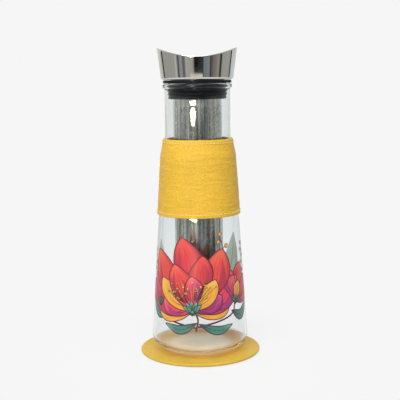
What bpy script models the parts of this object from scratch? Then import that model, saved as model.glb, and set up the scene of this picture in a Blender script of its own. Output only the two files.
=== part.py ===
"""Glass carafe on a leather coaster, with a leather sleeve, a saddle-shaped steel pouring head and
an infuser.

Lengths are metres and +Z is up. The origin is the centre of the coaster's underside. The front
looks along -Y, the two pouring peaks of the head point along -X and +X, and the sleeve's seam is
at the back.

Each group of pieces that moves together hangs on an empty. Outlines are lists of (radius, height),
measured from that empty.
"""

import math

import bpy

# Clearance between pieces that touch, the overrun of every cut and the least corner
seat_gap = 0.0003
cut_overrun = 0.0010
corner_round = 0.00025

# Coaster: a leather disc whose rim is turned under round a non-slip backing
coaster_margin = 0.0119
coaster_thickness = 0.0032
coaster_edge_radius = 0.0012
coaster_turn_in = 0.0035
coaster_hide = 0.0012
backing_proud = 0.0004

# Glass body: a rounded foot, a slow cone, a soft shoulder, a straight neck and a beaded lip
foot_radius = 0.0469
foot_corner = 0.0140
cone_height = 0.1880
shoulder_step = 0.0039
shoulder_height = 0.0250
neck_radius = 0.0314
neck_height = 0.0462
body_wall = 0.0018
neck_wall = 0.0015
glass_floor = 0.0040
punt_radius = 0.0300
punt_depth = 0.0010
lip_bulge = 0.0020
lip_height = 0.0050
mouth_round = 0.0005

# Sleeve: leather hemmed round a thin lining, with a stitched line inside each edge
sleeve_height = 0.0727
sleeve_rise = 0.0187
sleeve_lean_share = 0.85
sleeve_hide = 0.0009
sleeve_edge_radius = 0.0009
lining_thickness = 0.0003
hem_width = 0.0050
stitch_inset = 0.0032
stitch_notch_depth = 0.0004
stitch_notch_width = 0.0016
thread_radius = 0.0003
thread_proud = 0.00025
lacing_width = 0.0032
lacing_pitch = 0.0056

# Silicone seal: a flange on the lip and a ribbed plug in the neck
flange_overhang = 0.0014
flange_thickness = 0.0028
flange_round = 0.0006
plug_depth = 0.0149
seal_wall = 0.0016
fin_count = 4
fin_depth = 0.0020
fin_drop = 0.0028
fin_thickness = 0.0024
fin_root = 0.0030
fin_taper = 0.0005

# Pouring head: a spun steel bowl whose flared wall is trimmed to a saddle
head_wall = 0.0010
head_foot_inset = 0.0009
head_corner = 0.0030
head_height = 0.0304
head_rise = 0.0089
head_flare = 0.0035

# Throat: a steel tube through the seal and the head, with a flange on top and a bead in the seal
throat_wall = 0.0018
throat_flange_width = 0.0035
throat_flange = 0.0010
bead_proud = 0.0009
bead_height = 0.0024

# Tilting flap: a plate on a cross pin in a seat ring, with a weight below that keeps it level
seat_ring_drop = 0.0061
flap_recess = 0.0011
flap_thickness = 0.0010
flap_clearance = 0.0004
pin_radius = 0.0010
pin_drop = 0.0017
knuckle_radius = 0.0023
knuckle_end_room = 0.0060
weight_radius = 0.0050
weight_height = 0.0100
weight_round = 0.0010
seat_ring_wall = 0.0039

# Infuser: a collar that plugs into the throat, a long tube and a pressed-in base
infuser_length = 0.1847
collar_wall = 0.0019
collar_plug = 0.0092
collar_band_step = 0.00055
collar_height = 0.0165
socket_depth = 0.0058
socket_wall = 0.00055
tube_wall = 0.0006
o_ring_drop = 0.0047
o_ring_radius = 0.00035
o_ring_groove_depth = 0.0009
o_ring_groove_width = 0.0014
base_height = 0.0047
base_round = 0.0010
base_plug = 0.0030

# Fineness of the round shapes
round_steps = 40
inner_steps = 32
small_steps = 16
arc_steps = 4
thread_sides = 6
sharp_angle = math.radians(35)

# Sizes and places that follow from the ones above
coaster_radius = foot_radius + coaster_margin
glass_place = coaster_thickness + seat_gap
glass_height = cone_height + shoulder_height + neck_height
cone_top_radius = neck_radius + shoulder_step
neck_bore = neck_radius - neck_wall
sleeve_place = cone_height + sleeve_rise - sleeve_height
flange_radius = neck_radius + flange_overhang
plug_radius = neck_bore - seat_gap - fin_depth
throat_radius = plug_radius - seal_wall
flange_top = seat_gap + flange_thickness
head_place = flange_top + seat_gap
throat_top = head_place + head_wall + seat_gap + throat_flange
throat_bottom = seat_gap - plug_depth
fin_spacing = (-throat_bottom - fin_thickness / 2 - fin_drop) / (fin_count - 1)
throat_bore = throat_radius - throat_wall
seat_ring_radius = throat_bore - seat_gap
flap_bore = seat_ring_radius - seat_ring_wall
knuckle_length = 2 * (flap_bore - knuckle_end_room)
pin_place = throat_top - flap_recess - flap_thickness - pin_drop
seat_ring_bottom = pin_place - seat_ring_drop
flap_radius = math.sqrt((flap_bore - flap_clearance) ** 2 - (pin_drop + flap_thickness) ** 2)
bead_place = -fin_drop - fin_spacing
infuser_place = seat_ring_bottom - seat_gap
collar_radius = throat_bore - seat_gap
band_radius = collar_radius - collar_band_step
socket_radius = band_radius - socket_wall
socket_top = socket_depth - collar_height


def linear(hex_colour):
    """The linear RGBA colour of an sRGB hex value."""
    shares = [int(hex_colour[i : i + 2], 16) / 255 for i in (1, 3, 5)]
    return [s / 12.92 if s <= 0.04045 else ((s + 0.055) / 1.055) ** 2.4 for s in shares] + [1.0]


def material(name, hex_colour, roughness, metallic=0.0, transmission=0.0):
    """A Principled material."""
    made = bpy.data.materials.new(name)
    made.use_nodes = True
    shader = made.node_tree.nodes["Principled BSDF"].inputs
    shader["Base Color"].default_value = linear(hex_colour)
    shader["Roughness"].default_value = roughness
    shader["Metallic"].default_value = metallic
    shader["Transmission Weight"].default_value = transmission
    made.diffuse_color = linear(hex_colour)
    return made


def frame(name, height, parent=None):
    """An empty on the vertical axis, at a height above its parent."""
    empty = bpy.data.objects.new(name, None)
    bpy.context.scene.collection.objects.link(empty)
    empty.location.z = height
    empty.parent = parent
    return empty


def add_piece(name, mesh, parent, finish):
    """Link a mesh object, hang it on its frame and give it its material."""
    piece = bpy.data.objects.new(name, mesh)
    bpy.context.scene.collection.objects.link(piece)
    piece.parent = parent
    if finish:
        mesh.materials.append(finish)
    return piece


def bake(piece):
    """Turn the piece's modifiers into its mesh, shaded smooth up to the sharp angle."""
    finish = list(piece.data.materials)
    bpy.context.view_layer.update()
    graph = bpy.context.evaluated_depsgraph_get()
    mesh = bpy.data.meshes.new_from_object(piece.evaluated_get(graph))
    piece.modifiers.clear()
    piece.data = mesh
    mesh.materials.clear()
    for each in finish:
        mesh.materials.append(each)
    mesh.shade_smooth()
    mesh.set_sharp_from_angle(angle=sharp_angle)


def turned(name, outline, parent, finish=None, steps=round_steps, ring=True):
    """Spin an outline about Z. It runs down its outer side; a ring's outline closes on itself."""
    last = len(outline) - 1
    edges = [(i, i + 1) for i in range(last)] + ([(last, 0)] if ring else [])
    mesh = bpy.data.meshes.new(name)
    mesh.from_pydata([(radius, 0, height) for radius, height in outline], edges, [])
    piece = add_piece(name, mesh, parent, finish)
    screw = piece.modifiers.new("spin", "SCREW")
    screw.steps = screw.render_steps = steps
    screw.use_merge_vertices = True
    screw.merge_threshold = 0.00001
    bake(piece)
    return piece


def arc(centre_radius, centre_height, reach, rise, start, end, steps=arc_steps):
    """Points on an ellipse about a centre, from one angle to another in degrees."""
    points = []
    for i in range(steps + 1):
        angle = math.radians(start + (end - start) * i / steps)
        points.append((centre_radius + reach * math.cos(angle), centre_height + rise * math.sin(angle)))
    return points


def cross_rod(name, radius, length, parent, finish=None):
    """A round rod along Y through the parent's origin."""
    half = length / 2
    rod = turned(name, [(0, half), (radius, half), (radius, -half), (0, -half)],
                 parent, finish, small_steps, ring=False)
    rod.rotation_euler.x = math.radians(90)
    return rod


def combine(piece, tool, operation):
    """Cut, or join, another object into the piece, and remove that object."""
    boolean = piece.modifiers.new(operation.lower(), "BOOLEAN")
    boolean.operation = operation
    boolean.solver = "EXACT"
    boolean.object = tool
    bake(piece)
    bpy.data.objects.remove(tool)


def blend(share):
    """A smooth rise from 0 to 1."""
    share = min(max(share, 0), 1)
    return share * share * (3 - 2 * share)


def cone_radius(height):
    """The glass's straight side, at a height above its underside."""
    share = (height - foot_corner) / (cone_height - foot_corner)
    return foot_radius + (cone_top_radius - foot_radius) * share


def glass_radius(height):
    """The glass's outer radius from the foot's corner to the lip."""
    share = blend((height - cone_height) / shoulder_height)
    return cone_radius(height) * (1 - share) + neck_radius * share


def glass_bore(height):
    """The glass's inner radius, as its wall thins from the body to the neck."""
    share = blend((height - cone_height) / shoulder_height)
    return glass_radius(height) - body_wall * (1 - share) - neck_wall * share


def sleeve_lining_radius(height):
    """The sleeve's inmost face, at a height above its lower edge. It is straight on the cone and
    then leans in with the shoulder, a little less than the glass does."""
    place = sleeve_place + height
    lean = sleeve_lean_share * (cone_radius(place) - glass_radius(place))
    return cone_radius(place) + seat_gap - lean


def sleeve_radius(height):
    """The sleeve's outer face."""
    return sleeve_lining_radius(height) + lining_thickness + seat_gap + sleeve_hide


def make_coaster(parent):
    """The leather disc, turned under at its rim, and the backing set inside the rim."""
    under = backing_proud
    recess = coaster_thickness - coaster_hide
    inner = coaster_radius - coaster_turn_in
    edge = coaster_edge_radius
    outline = [(0, coaster_thickness)]
    outline += arc(coaster_radius - edge, coaster_thickness - edge, edge, edge, 90, 0)
    outline += arc(coaster_radius - edge, under + edge, edge, edge, 0, -90)
    outline += [(inner, under), (inner, recess), (0, recess)]
    yellow = material("yellow_leather", "#edc149", 0.55)
    turned("coaster_leather", outline, parent, yellow, ring=False)
    rim = inner - seat_gap
    lid = recess - seat_gap
    outline = [(0, lid), (rim, lid), (rim, 0), (0, 0)]
    suede = material("coaster_suede", "#b08f4a", 0.95)
    turned("coaster_backing", outline, parent, suede, ring=False)
    return yellow


def make_glass(parent):
    """The glass body, drawn up its inside, over the lip, down its outside and across the punt."""
    shoulder = [cone_height + shoulder_height * i / (arc_steps + 1) for i in range(arc_steps + 2)]
    corner = foot_radius - foot_corner
    outline = [(0, glass_floor)]
    outline += arc(corner, foot_corner, foot_corner - body_wall, foot_corner - glass_floor, -90, 0)
    outline += [(glass_bore(height), height) for height in shoulder]
    outline += [(neck_bore, glass_height - mouth_round), (neck_bore + mouth_round, glass_height)]
    outline += arc(neck_radius, glass_height - lip_height / 2,
                   lip_bulge, lip_height / 2, 90, -90)
    outline += [(glass_radius(height), height) for height in reversed(shoulder)]
    outline += arc(corner, foot_corner, foot_corner, foot_corner, 0, -90)
    outline += [(punt_radius, 0), (punt_radius / 2, punt_depth * 3 / 4), (0, punt_depth)]
    clear = material("clear_glass", "#f2f7f6", 0.02, transmission=1.0)
    turned("glass_body", outline, parent, clear, ring=False)


def make_sleeve(parent, yellow):
    """The hemmed leather, its lining, the stitched line inside each edge and the back seam's lacing."""
    edge = sleeve_edge_radius
    high = sleeve_height - stitch_inset
    notch = stitch_notch_width / 2
    bend = sleeve_height - sleeve_rise
    lean = [bend + (high - notch - bend) * i / arc_steps for i in range(arc_steps)]
    top = sleeve_height - hem_width
    lining_gap = lining_thickness + seat_gap

    def notched(height):
        return [(sleeve_radius(height + notch), height + notch),
                (sleeve_radius(height) - stitch_notch_depth, height),
                (sleeve_radius(height - notch), height - notch)]

    outline = arc(sleeve_radius(sleeve_height) - edge, sleeve_height - edge, edge, edge, 90, 0, 2)
    outline += notched(high)
    outline += [(sleeve_radius(height), height) for height in reversed(lean)]
    outline += notched(stitch_inset)
    outline += arc(sleeve_radius(0) - edge, edge, edge, edge, 0, -90, 2)
    outline += [(sleeve_lining_radius(0), 0)]
    outline += [(sleeve_lining_radius(hem_width), hem_width)]
    outline += [(sleeve_lining_radius(hem_width) + lining_gap, hem_width)]
    outline += [(sleeve_lining_radius(height) + lining_gap, height) for height in lean if height < top]
    outline += [(sleeve_lining_radius(top) + lining_gap, top)]
    outline += [(sleeve_lining_radius(top), top)]
    outline += [(sleeve_lining_radius(sleeve_height), sleeve_height)]
    turned("sleeve_leather", outline, parent, yellow)

    low = hem_width + seat_gap
    top -= seat_gap
    inside = [low] + [height for height in lean if height < top] + [top]
    outline = [(sleeve_lining_radius(h) + lining_thickness, h) for h in reversed(inside)]
    outline += [(sleeve_lining_radius(h), h) for h in inside]
    turned("sleeve_lining", outline, parent, material("lining_microfibre", "#c9a45a", 0.9))

    thread = material("stitch_thread", "#f6dc8c", 0.6)
    for name, height in (("stitch_line_top", high), ("stitch_line_bottom", stitch_inset)):
        centre = sleeve_radius(height) + thread_proud
        outline = arc(centre, height, thread_radius, thread_radius, 360, 0, thread_sides)[:-1]
        turned(name, outline, parent, thread)
    make_lacing(parent, thread)


def make_lacing(parent, thread):
    """One thread that zigzags over the seam at the back, just off the leather."""
    low = stitch_inset + stitch_notch_width
    span = sleeve_height - 2 * low
    turns = 2 * round(span / lacing_pitch)
    curve = bpy.data.curves.new("seam_lacing", "CURVE")
    curve.dimensions = "3D"
    curve.bevel_depth = thread_radius
    curve.bevel_resolution = 1
    curve.use_fill_caps = True
    spline = curve.splines.new("POLY")
    spline.points.add(turns)
    for i, point in enumerate(spline.points):
        height = low + span * i / turns
        x = lacing_width / 2 * (1 if i % 2 else -1)
        reach = sleeve_radius(height) + seat_gap + thread_radius
        point.co = (x, math.sqrt(reach**2 - x**2), height, 1)
    curve.materials.append(thread)
    lacing = bpy.data.objects.new("seam_lacing", curve)
    bpy.context.scene.collection.objects.link(lacing)
    lacing.parent = parent


def make_seal(parent):
    """The silicone flange and its ribbed plug, grooved inside for the throat's bead. The lowest fin
    is the plug's lower edge."""
    flange_low = seat_gap
    bore = throat_radius + seat_gap
    bead = bead_height / 2 + seat_gap
    edge = flange_round
    outline = arc(flange_radius - edge, flange_top - edge, edge, edge, 90, 0, 2)
    outline += arc(flange_radius - edge, flange_low + edge, edge, edge, 0, -90, 2)
    outline += [(plug_radius, flange_low)]
    for i in range(fin_count):
        fin_height = -fin_drop - fin_spacing * i
        fin_radius = neck_bore - seat_gap - fin_taper * i
        outline += [(plug_radius, fin_height + fin_root / 2)]
        outline += [(fin_radius, fin_height + fin_thickness / 2)]
        outline += [(fin_radius, fin_height - fin_thickness / 2)]
        outline += [(plug_radius, fin_height - fin_root / 2)]
    outline.pop()
    outline += [(bore, throat_bottom)]
    outline += [(bore, bead_place - bead)]
    outline += [(bore + bead_proud, bead_place)]
    outline += [(bore, bead_place + bead), (bore, flange_top)]
    turned("lid_seal", outline, parent, material("black_silicone", "#1f2023", 0.45))


def make_head(parent, steel):
    """The flared steel bowl, spun at full height and then trimmed so that its rim dips at the front
    and the back."""
    foot = head_place
    wall = head_wall
    corner = head_corner
    foot_edge = flange_radius - head_foot_inset
    top_radius = foot_edge + corner + head_flare
    hole = throat_radius + seat_gap
    outline = [(top_radius - wall / 2, foot + head_height), (top_radius, foot + head_height - wall / 2)]
    outline += arc(foot_edge, foot + corner, corner, corner, 0, -90)
    outline += [(hole, foot), (hole, foot + wall)]
    outline += arc(foot_edge, foot + corner, corner - wall, corner - wall, -90, 0)
    outline += [(top_radius - wall, foot + head_height - wall / 2)]
    head = turned("pouring_head", outline, parent, steel)
    slope = head_flare / (head_height - corner)
    for vertex in head.data.vertices:
        if vertex.co.z > foot + head_height - wall:
            radius = math.hypot(vertex.co.x, vertex.co.y)
            drop = head_rise * (vertex.co.y / radius) ** 2
            shrink = 1 - slope * drop / radius
            vertex.co = (vertex.co.x * shrink, vertex.co.y * shrink, vertex.co.z - drop)


def make_throat(parent, steel):
    """The flanged tube that clamps the head on the seal, with the bead that the seal grips."""
    underside = throat_top - throat_flange
    rim = throat_radius + throat_flange_width
    outline = [(rim, throat_top), (rim, underside)]
    outline += [(throat_radius, underside), (throat_radius, bead_place + bead_height / 2)]
    outline += [(throat_radius + bead_proud, bead_place)]
    outline += [(throat_radius, bead_place - bead_height / 2)]
    outline += [(throat_radius, throat_bottom), (throat_bore, throat_bottom), (throat_bore, throat_top)]
    turned("lid_throat", outline, parent, steel)


def make_flap(lid, flap, steel):
    """The seat ring with its cross pin, and the plate and weight that tilt on that pin."""
    outline = [(seat_ring_radius, throat_top), (seat_ring_radius, seat_ring_bottom)]
    outline += [(flap_bore, seat_ring_bottom), (flap_bore, throat_top)]
    seat = turned("flap_seat_ring", outline, lid, material("black_plastic", "#232426", 0.5))
    hole = cross_rod("pin_hole", pin_radius + seat_gap, 2 * throat_radius, lid)
    hole.location.z = pin_place
    combine(seat, hole, "DIFFERENCE")

    pin = cross_rod("flap_pin", pin_radius, 2 * (seat_ring_radius - seat_gap), lid, steel)
    pin.location.z = pin_place

    top = pin_drop + flap_thickness
    outline = [(0, top), (flap_radius - corner_round, top), (flap_radius, top - corner_round)]
    outline += [(flap_radius, pin_drop), (0, pin_drop)]
    plate = turned("flap_plate", outline, flap, steel, inner_steps, ring=False)
    combine(plate, cross_rod("knuckle", knuckle_radius, knuckle_length, flap), "UNION")
    bore = cross_rod("knuckle_bore", pin_radius + seat_gap, knuckle_length + 2 * cut_overrun, flap)
    combine(plate, bore, "DIFFERENCE")

    low = -knuckle_radius - weight_height
    outline = [(0, -pin_radius), (weight_radius, -pin_radius), (weight_radius, low + weight_round)]
    outline += [(weight_radius - weight_round, low), (0, low)]
    weight = turned("flap_weight", outline, flap, steel, small_steps, ring=False)
    room = cross_rod("knuckle_room", knuckle_radius + seat_gap, knuckle_length, flap)
    combine(weight, room, "DIFFERENCE")


def make_infuser(parent, steel):
    """The collar with its O-ring, the tube whose drawn-in end sits in the collar, and the base."""
    groove_low = -o_ring_drop - o_ring_groove_width / 2
    groove_high = -o_ring_drop + o_ring_groove_width / 2
    groove_floor = collar_radius - o_ring_groove_depth
    collar_bore = collar_radius - collar_wall
    outline = [(collar_radius - corner_round, 0), (collar_radius, -corner_round)]
    outline += [(collar_radius, groove_high), (groove_floor, groove_high)]
    outline += [(groove_floor, groove_low), (collar_radius, groove_low)]
    outline += [(collar_radius, -collar_plug), (band_radius, -collar_plug)]
    outline += [(band_radius, -collar_height), (socket_radius, -collar_height)]
    outline += [(socket_radius, socket_top), (collar_bore, socket_top), (collar_bore, 0)]
    turned("infuser_collar", outline, parent, steel, inner_steps)

    centre = groove_floor + seat_gap + o_ring_radius
    outline = arc(centre, -o_ring_drop, o_ring_radius, o_ring_radius, 360, 0, thread_sides)[:-1]
    turned("infuser_o_ring", outline, parent, material("ring_silicone", "#3a3b3d", 0.5), inner_steps)

    tube_top = socket_top - seat_gap
    shoulder = -collar_height - seat_gap
    tube_low = base_height - infuser_length + seat_gap
    neck = socket_radius - seat_gap
    bore = band_radius - tube_wall
    outline = [(neck, tube_top), (neck, shoulder), (band_radius, shoulder), (band_radius, tube_low)]
    outline += [(bore, tube_low), (bore, shoulder - tube_wall)]
    outline += [(neck - tube_wall, shoulder - tube_wall), (neck - tube_wall, tube_top)]
    turned("infuser_tube", outline, parent, steel, inner_steps)

    low = -infuser_length
    seat = low + base_height
    plug = bore - seat_gap
    outline = [(plug, seat + base_plug), (plug, seat), (band_radius, seat)]
    outline += arc(band_radius - base_round, low + base_round, base_round, base_round, 0, -90, 2)
    outline += [(0, low), (0, low + tube_wall), (plug - tube_wall, low + tube_wall)]
    outline += [(plug - tube_wall, seat + base_plug)]
    outline = outline[-3:] + outline[:-3]
    turned("infuser_base", outline, parent, steel, inner_steps, ring=False)


def main():
    for piece in list(bpy.data.objects):
        bpy.data.objects.remove(piece)
    table = frame("coaster_frame", 0)
    carafe = frame("carafe_frame", glass_place, table)
    sleeve = frame("sleeve_frame", sleeve_place, carafe)
    lid = frame("lid_frame", glass_height, carafe)
    flap = frame("flap_frame", pin_place, lid)
    infuser = frame("infuser_frame", infuser_place, lid)
    steel = material("polished_steel", "#a9aaa6", 0.15, metallic=1.0)
    yellow = make_coaster(table)
    make_glass(carafe)
    make_sleeve(sleeve, yellow)
    make_seal(lid)
    make_head(lid, steel)
    make_throat(lid, steel)
    make_flap(lid, flap, steel)
    make_infuser(infuser, steel)


main()
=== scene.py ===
# %% [markdown]
# # A glass carafe with a leather sleeve and coaster
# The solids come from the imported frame. This file dresses them with fine meshes, leather grain,
# stitches, a printed decal, and materials that answer to light as glass, steel and leather do.
# Lengths are metres and +Z is up. The front looks along -Y.

import math
from functools import partial

import bmesh
import bpy
import numpy as np
from mathutils import Euler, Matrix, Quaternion, Vector


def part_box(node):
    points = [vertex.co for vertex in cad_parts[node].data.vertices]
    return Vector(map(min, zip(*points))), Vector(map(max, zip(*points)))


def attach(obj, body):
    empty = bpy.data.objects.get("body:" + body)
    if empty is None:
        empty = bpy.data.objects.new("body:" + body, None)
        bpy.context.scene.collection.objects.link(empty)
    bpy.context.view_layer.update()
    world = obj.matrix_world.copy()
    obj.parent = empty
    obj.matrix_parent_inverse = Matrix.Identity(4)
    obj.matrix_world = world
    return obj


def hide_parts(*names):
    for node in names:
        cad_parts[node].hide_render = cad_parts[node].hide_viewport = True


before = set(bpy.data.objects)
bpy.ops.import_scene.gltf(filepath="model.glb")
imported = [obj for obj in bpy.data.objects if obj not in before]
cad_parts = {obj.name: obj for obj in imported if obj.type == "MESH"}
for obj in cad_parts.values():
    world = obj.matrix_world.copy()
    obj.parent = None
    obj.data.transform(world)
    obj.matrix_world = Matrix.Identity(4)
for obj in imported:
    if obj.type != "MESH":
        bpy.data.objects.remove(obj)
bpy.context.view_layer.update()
mm = 0.001


def in_mm(length):
    """A length in metres as millimetres, to print."""
    return round(length / mm, 1)


def size_of(node):
    """A CAD node's lower height, upper height and outer radius."""
    low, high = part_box(node)
    return low.z, high.z, high.x


# %% [markdown]
# ## Small helpers
# Colours are read off as sRGB hex values, but the renderer adds light in linear numbers, so one
# function turns the first into the second. One more function adds a shader node with its settings
# and its links, so that each material below reads as a list of what it is made of. A node's inputs
# are given by name, or as a list in the order in which the node shows them in the editor.

# %% Colour and node helpers


def linear(colour):
    """The linear RGBA of an sRGB hex colour. Any other value is passed on as it is."""
    if not isinstance(colour, str):
        return colour
    shares = [int(colour[i : i + 2], 16) / 255 for i in (1, 3, 5)]
    return [s / 12.92 if s <= 0.04045 else ((s + 0.055) / 1.055) ** 2.4 for s in shares] + [1.0]


def plug(node, sockets):
    """Give each input a number or colour, or link it to another node or to one of its outputs."""
    if not isinstance(sockets, dict):
        in_use = [place for place, socket in enumerate(node.inputs) if socket.enabled]
        sockets = dict(zip(in_use, sockets))
    for name, value in sockets.items():
        if isinstance(value, bpy.types.Node):
            value = next(output for output in value.outputs if output.enabled)
        if isinstance(value, bpy.types.NodeSocket):
            node.id_data.links.new(value, node.inputs[name])
        else:
            node.inputs[name].default_value = linear(value)


def add_node(tree, kind, sockets=(), stops=(), **settings):
    """Add a shader node with its settings, its inputs and, if it is a ramp, its colour stops."""
    made = tree.nodes.new("ShaderNode" + kind)
    for name, value in settings.items():
        setattr(made, name, value)
    plug(made, sockets)
    if stops:
        elements = made.color_ramp.elements
        elements.remove(elements[1])
        elements[0].position, elements[0].color = stops[0][0], linear(stops[0][1])
        for place, colour in stops[1:]:
            elements.new(place).color = linear(colour)
    return made


def start_finish(name, hex_colour, roughness, **constants):
    """A Principled material with its constants set on the shader's own sockets.

    It returns the material, a function that adds nodes to it, and its shader."""
    made = bpy.data.materials.new(name)
    made.use_nodes = True
    shader = made.node_tree.nodes["Principled BSDF"]
    plug(shader, {"Base Color": hex_colour, "Roughness": roughness})
    plug(shader, {socket.replace("_", " "): value for socket, value in constants.items()})
    print("finish", name, hex_colour, "roughness", roughness)
    return made, partial(add_node, made.node_tree), shader


def from_axis(add, place):
    """How far a point of the surface is from the upright axis."""
    flat = add("VectorMath", [place, (1, 1, 0)], operation="MULTIPLY")
    return add("VectorMath", [flat], operation="LENGTH")


# %% [markdown]
# Many finishes need no more than a fine grain whose tone wanders a little. One function makes them
# from two tones, a real grain size and, where the grain can be felt, a shallow relief.

# %% Grained finishes


def grained(name, tones, roughness, grains_per_mm, detail, relief=None, gloss=None,
            tone_from=0.3, **constants):
    """A finish whose tone wanders from the first to the last of its dark, plain and light tones.

    relief is a bump's strength and depth in mm, and gloss the least and greatest roughness."""
    dark, plain, light = tones
    made, add, shader = start_finish(name, plain, roughness, **constants)
    place = add("TexCoord").outputs["Object"]
    grain = add("TexNoise", [place, grains_per_mm / mm, detail])
    tone = add("ValToRGB", [grain], [(tone_from, dark), (tone_from + 0.4, light)])
    plug(shader, {"Base Color": tone})
    if relief:
        plug(shader, {"Normal": add("Bump", {"Height": grain, "Strength": relief[0],
                                             "Distance": relief[1] * mm})})
    if gloss:
        plug(shader, {"Roughness": add("MapRange", [grain, 0.3, 0.7, gloss[0], gloss[1]])})
    return made


# %% [markdown]
# ## Turned shapes
# Almost everything here is round: glass is blown and turned, steel is spun, rubber is moulded in a
# round tool. A Screw modifier could spin an outline, but building the grid of points ourselves
# lets later steps press grain, stitches or a saddle into it before the faces are made.

# %% Outlines
fine = 192


def blend(share):
    """A smooth rise from 0 to 1."""
    share = np.clip(share, 0, 1)
    return share * share * (3 - 2 * share)


def arc(centre, reach, start, end, steps=6):
    """Points on an ellipse about (radius, height), from one angle to another in degrees."""
    turn = np.radians(np.linspace(start, end, steps + 1))
    across, up = reach if isinstance(reach, tuple) else (reach, reach)
    return [(centre[0] + across * math.cos(t), centre[1] + up * math.sin(t)) for t in turn]


def spin(outline, columns=fine):
    """Rows of points: each outline point (radius, height) carried once round the Z axis."""
    turn = np.arange(columns) * 2 * np.pi / columns
    radius, height = np.array(outline, float).T
    return np.stack([radius[:, None] * np.sin(turn), -radius[:, None] * np.cos(turn),
                     np.repeat(height[:, None], columns, 1)], axis=2)


# %% From points to pieces


def net(name, grids, loop=False, closed=True):
    """One mesh from grids of points. loop joins a grid's last row to its first, and closed its
    last column to its first."""
    points, faces, start = [], [], 0
    for grid in grids:
        index = start + np.arange(grid[..., 0].size).reshape(grid.shape[:2])
        start += index.size
        if loop:
            index = np.vstack([index, index[:1]])
        if closed:
            index = np.hstack([index, index[:, :1]])
        corners = index[:-1, :-1], index[:-1, 1:], index[1:, 1:], index[1:, :-1]
        faces.append(np.stack(corners, 2).reshape(-1, 4))
        points.append(grid.reshape(-1, 3))
    mesh = bpy.data.meshes.new(name)
    mesh.from_pydata(np.concatenate(points).tolist(), [], np.concatenate(faces).tolist())
    return mesh


def tidy(mesh, sharp=40, merge=1e-7):
    """Merge points that coincide, turn all faces outward and shade smooth up to an angle."""
    shape = bmesh.new()
    shape.from_mesh(mesh)
    bmesh.ops.remove_doubles(shape, verts=shape.verts, dist=merge)
    bmesh.ops.recalc_face_normals(shape, faces=shape.faces)
    shape.to_mesh(mesh)
    shape.free()
    mesh.shade_smooth()
    mesh.set_sharp_from_angle(angle=math.radians(sharp))
    return mesh


def skin(name, *grids, loop=True, sharp=40):
    """A smooth mesh through grids of points that run round. Without loop a grid's ends are left as
    they are, closed where a row is a single point."""
    return tidy(net(name, grids, loop), sharp)


def put_in_scene(name, data):
    """An object in the scene that holds a mesh, a lamp or a camera."""
    made = bpy.data.objects.new(name, data)
    bpy.context.scene.collection.objects.link(made)
    return made


def add_piece(mesh, finish, body, node=None):
    """Show a mesh: give it its finish, hang it on its body, and say which CAD node it replaces."""
    piece = put_in_scene(mesh.name, mesh)
    if finish:
        mesh.materials.append(finish)
    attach(piece, body)
    if node:
        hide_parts(node)
    print("piece", mesh.name, len(mesh.vertices), "points on", body)
    return piece


# %% [markdown]
# ## The camera
# The picture was taken from about 0.86 m away, a little above the height of the neck, looking 7.8
# degrees down. The lens is long, so the carafe hardly tapers away from us. The camera is turned by
# seven tenths of a degree, because the carafe leans that much in the picture.

# %% Camera
sensor_mm, lens_mm, sideways = 36, 79.2, 0.0034
look_down, lean = 7.8, -0.70
camera_data = bpy.data.cameras.new("camera")
camera_data.sensor_width, camera_data.lens, camera_data.shift_x = sensor_mm, lens_mm, sideways
camera_data.clip_start, camera_data.clip_end = 0.05, 20
camera = put_in_scene("camera", camera_data)
camera.location = (0, -0.8501, 0.2664)
camera.rotation_mode = "QUATERNION"
downward = Euler((math.radians(90 - look_down), 0, 0)).to_quaternion()
camera.rotation_quaternion = downward @ Quaternion((0, 0, 1), math.radians(lean))
bpy.context.scene.camera = camera
bpy.context.scene.view_settings.view_transform = "Standard"
print("camera", tuple(camera.location), "lens", camera_data.lens)

# %% [markdown]
# ## The room that steel and glass reflect
# A mirror has no colour of its own: it shows the room. The studio here is a white backdrop behind
# the carafe, plain grey walls at the sides, and the darker end of the room with the camera in
# front. The world shader draws that as upright bands by compass direction, seen only by rays that
# have been reflected. The camera, and rays that pass straight through glass, see the pale
# background, and soft matt surfaces are lit by an even white.

# %% Directions of the room, in degrees
pale, room_light, in_degrees = "#f6f6f6", 0.58, 180 / math.pi
least_facing, level_low, level_high = 0.12, -9.6, -8.9

world = bpy.data.worlds.new("studio")
bpy.context.scene.world = world
world.use_nodes = True
world.node_tree.nodes.clear()
add = partial(add_node, world.node_tree)

direction = add("TexCoord").outputs["Generated"]
parts = add("SeparateXYZ", [direction]).outputs
flip = add("Math", [parts["Y"], -1.0], operation="MULTIPLY")
compass = add("Math", [parts["X"], flip], operation="ARCTAN2")
turn = add("Math", [compass, in_degrees], operation="MULTIPLY")
incline = add("Math", [parts["Z"]], operation="ARCSINE")
rise = add("Math", [incline, in_degrees], operation="MULTIPLY")

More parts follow.
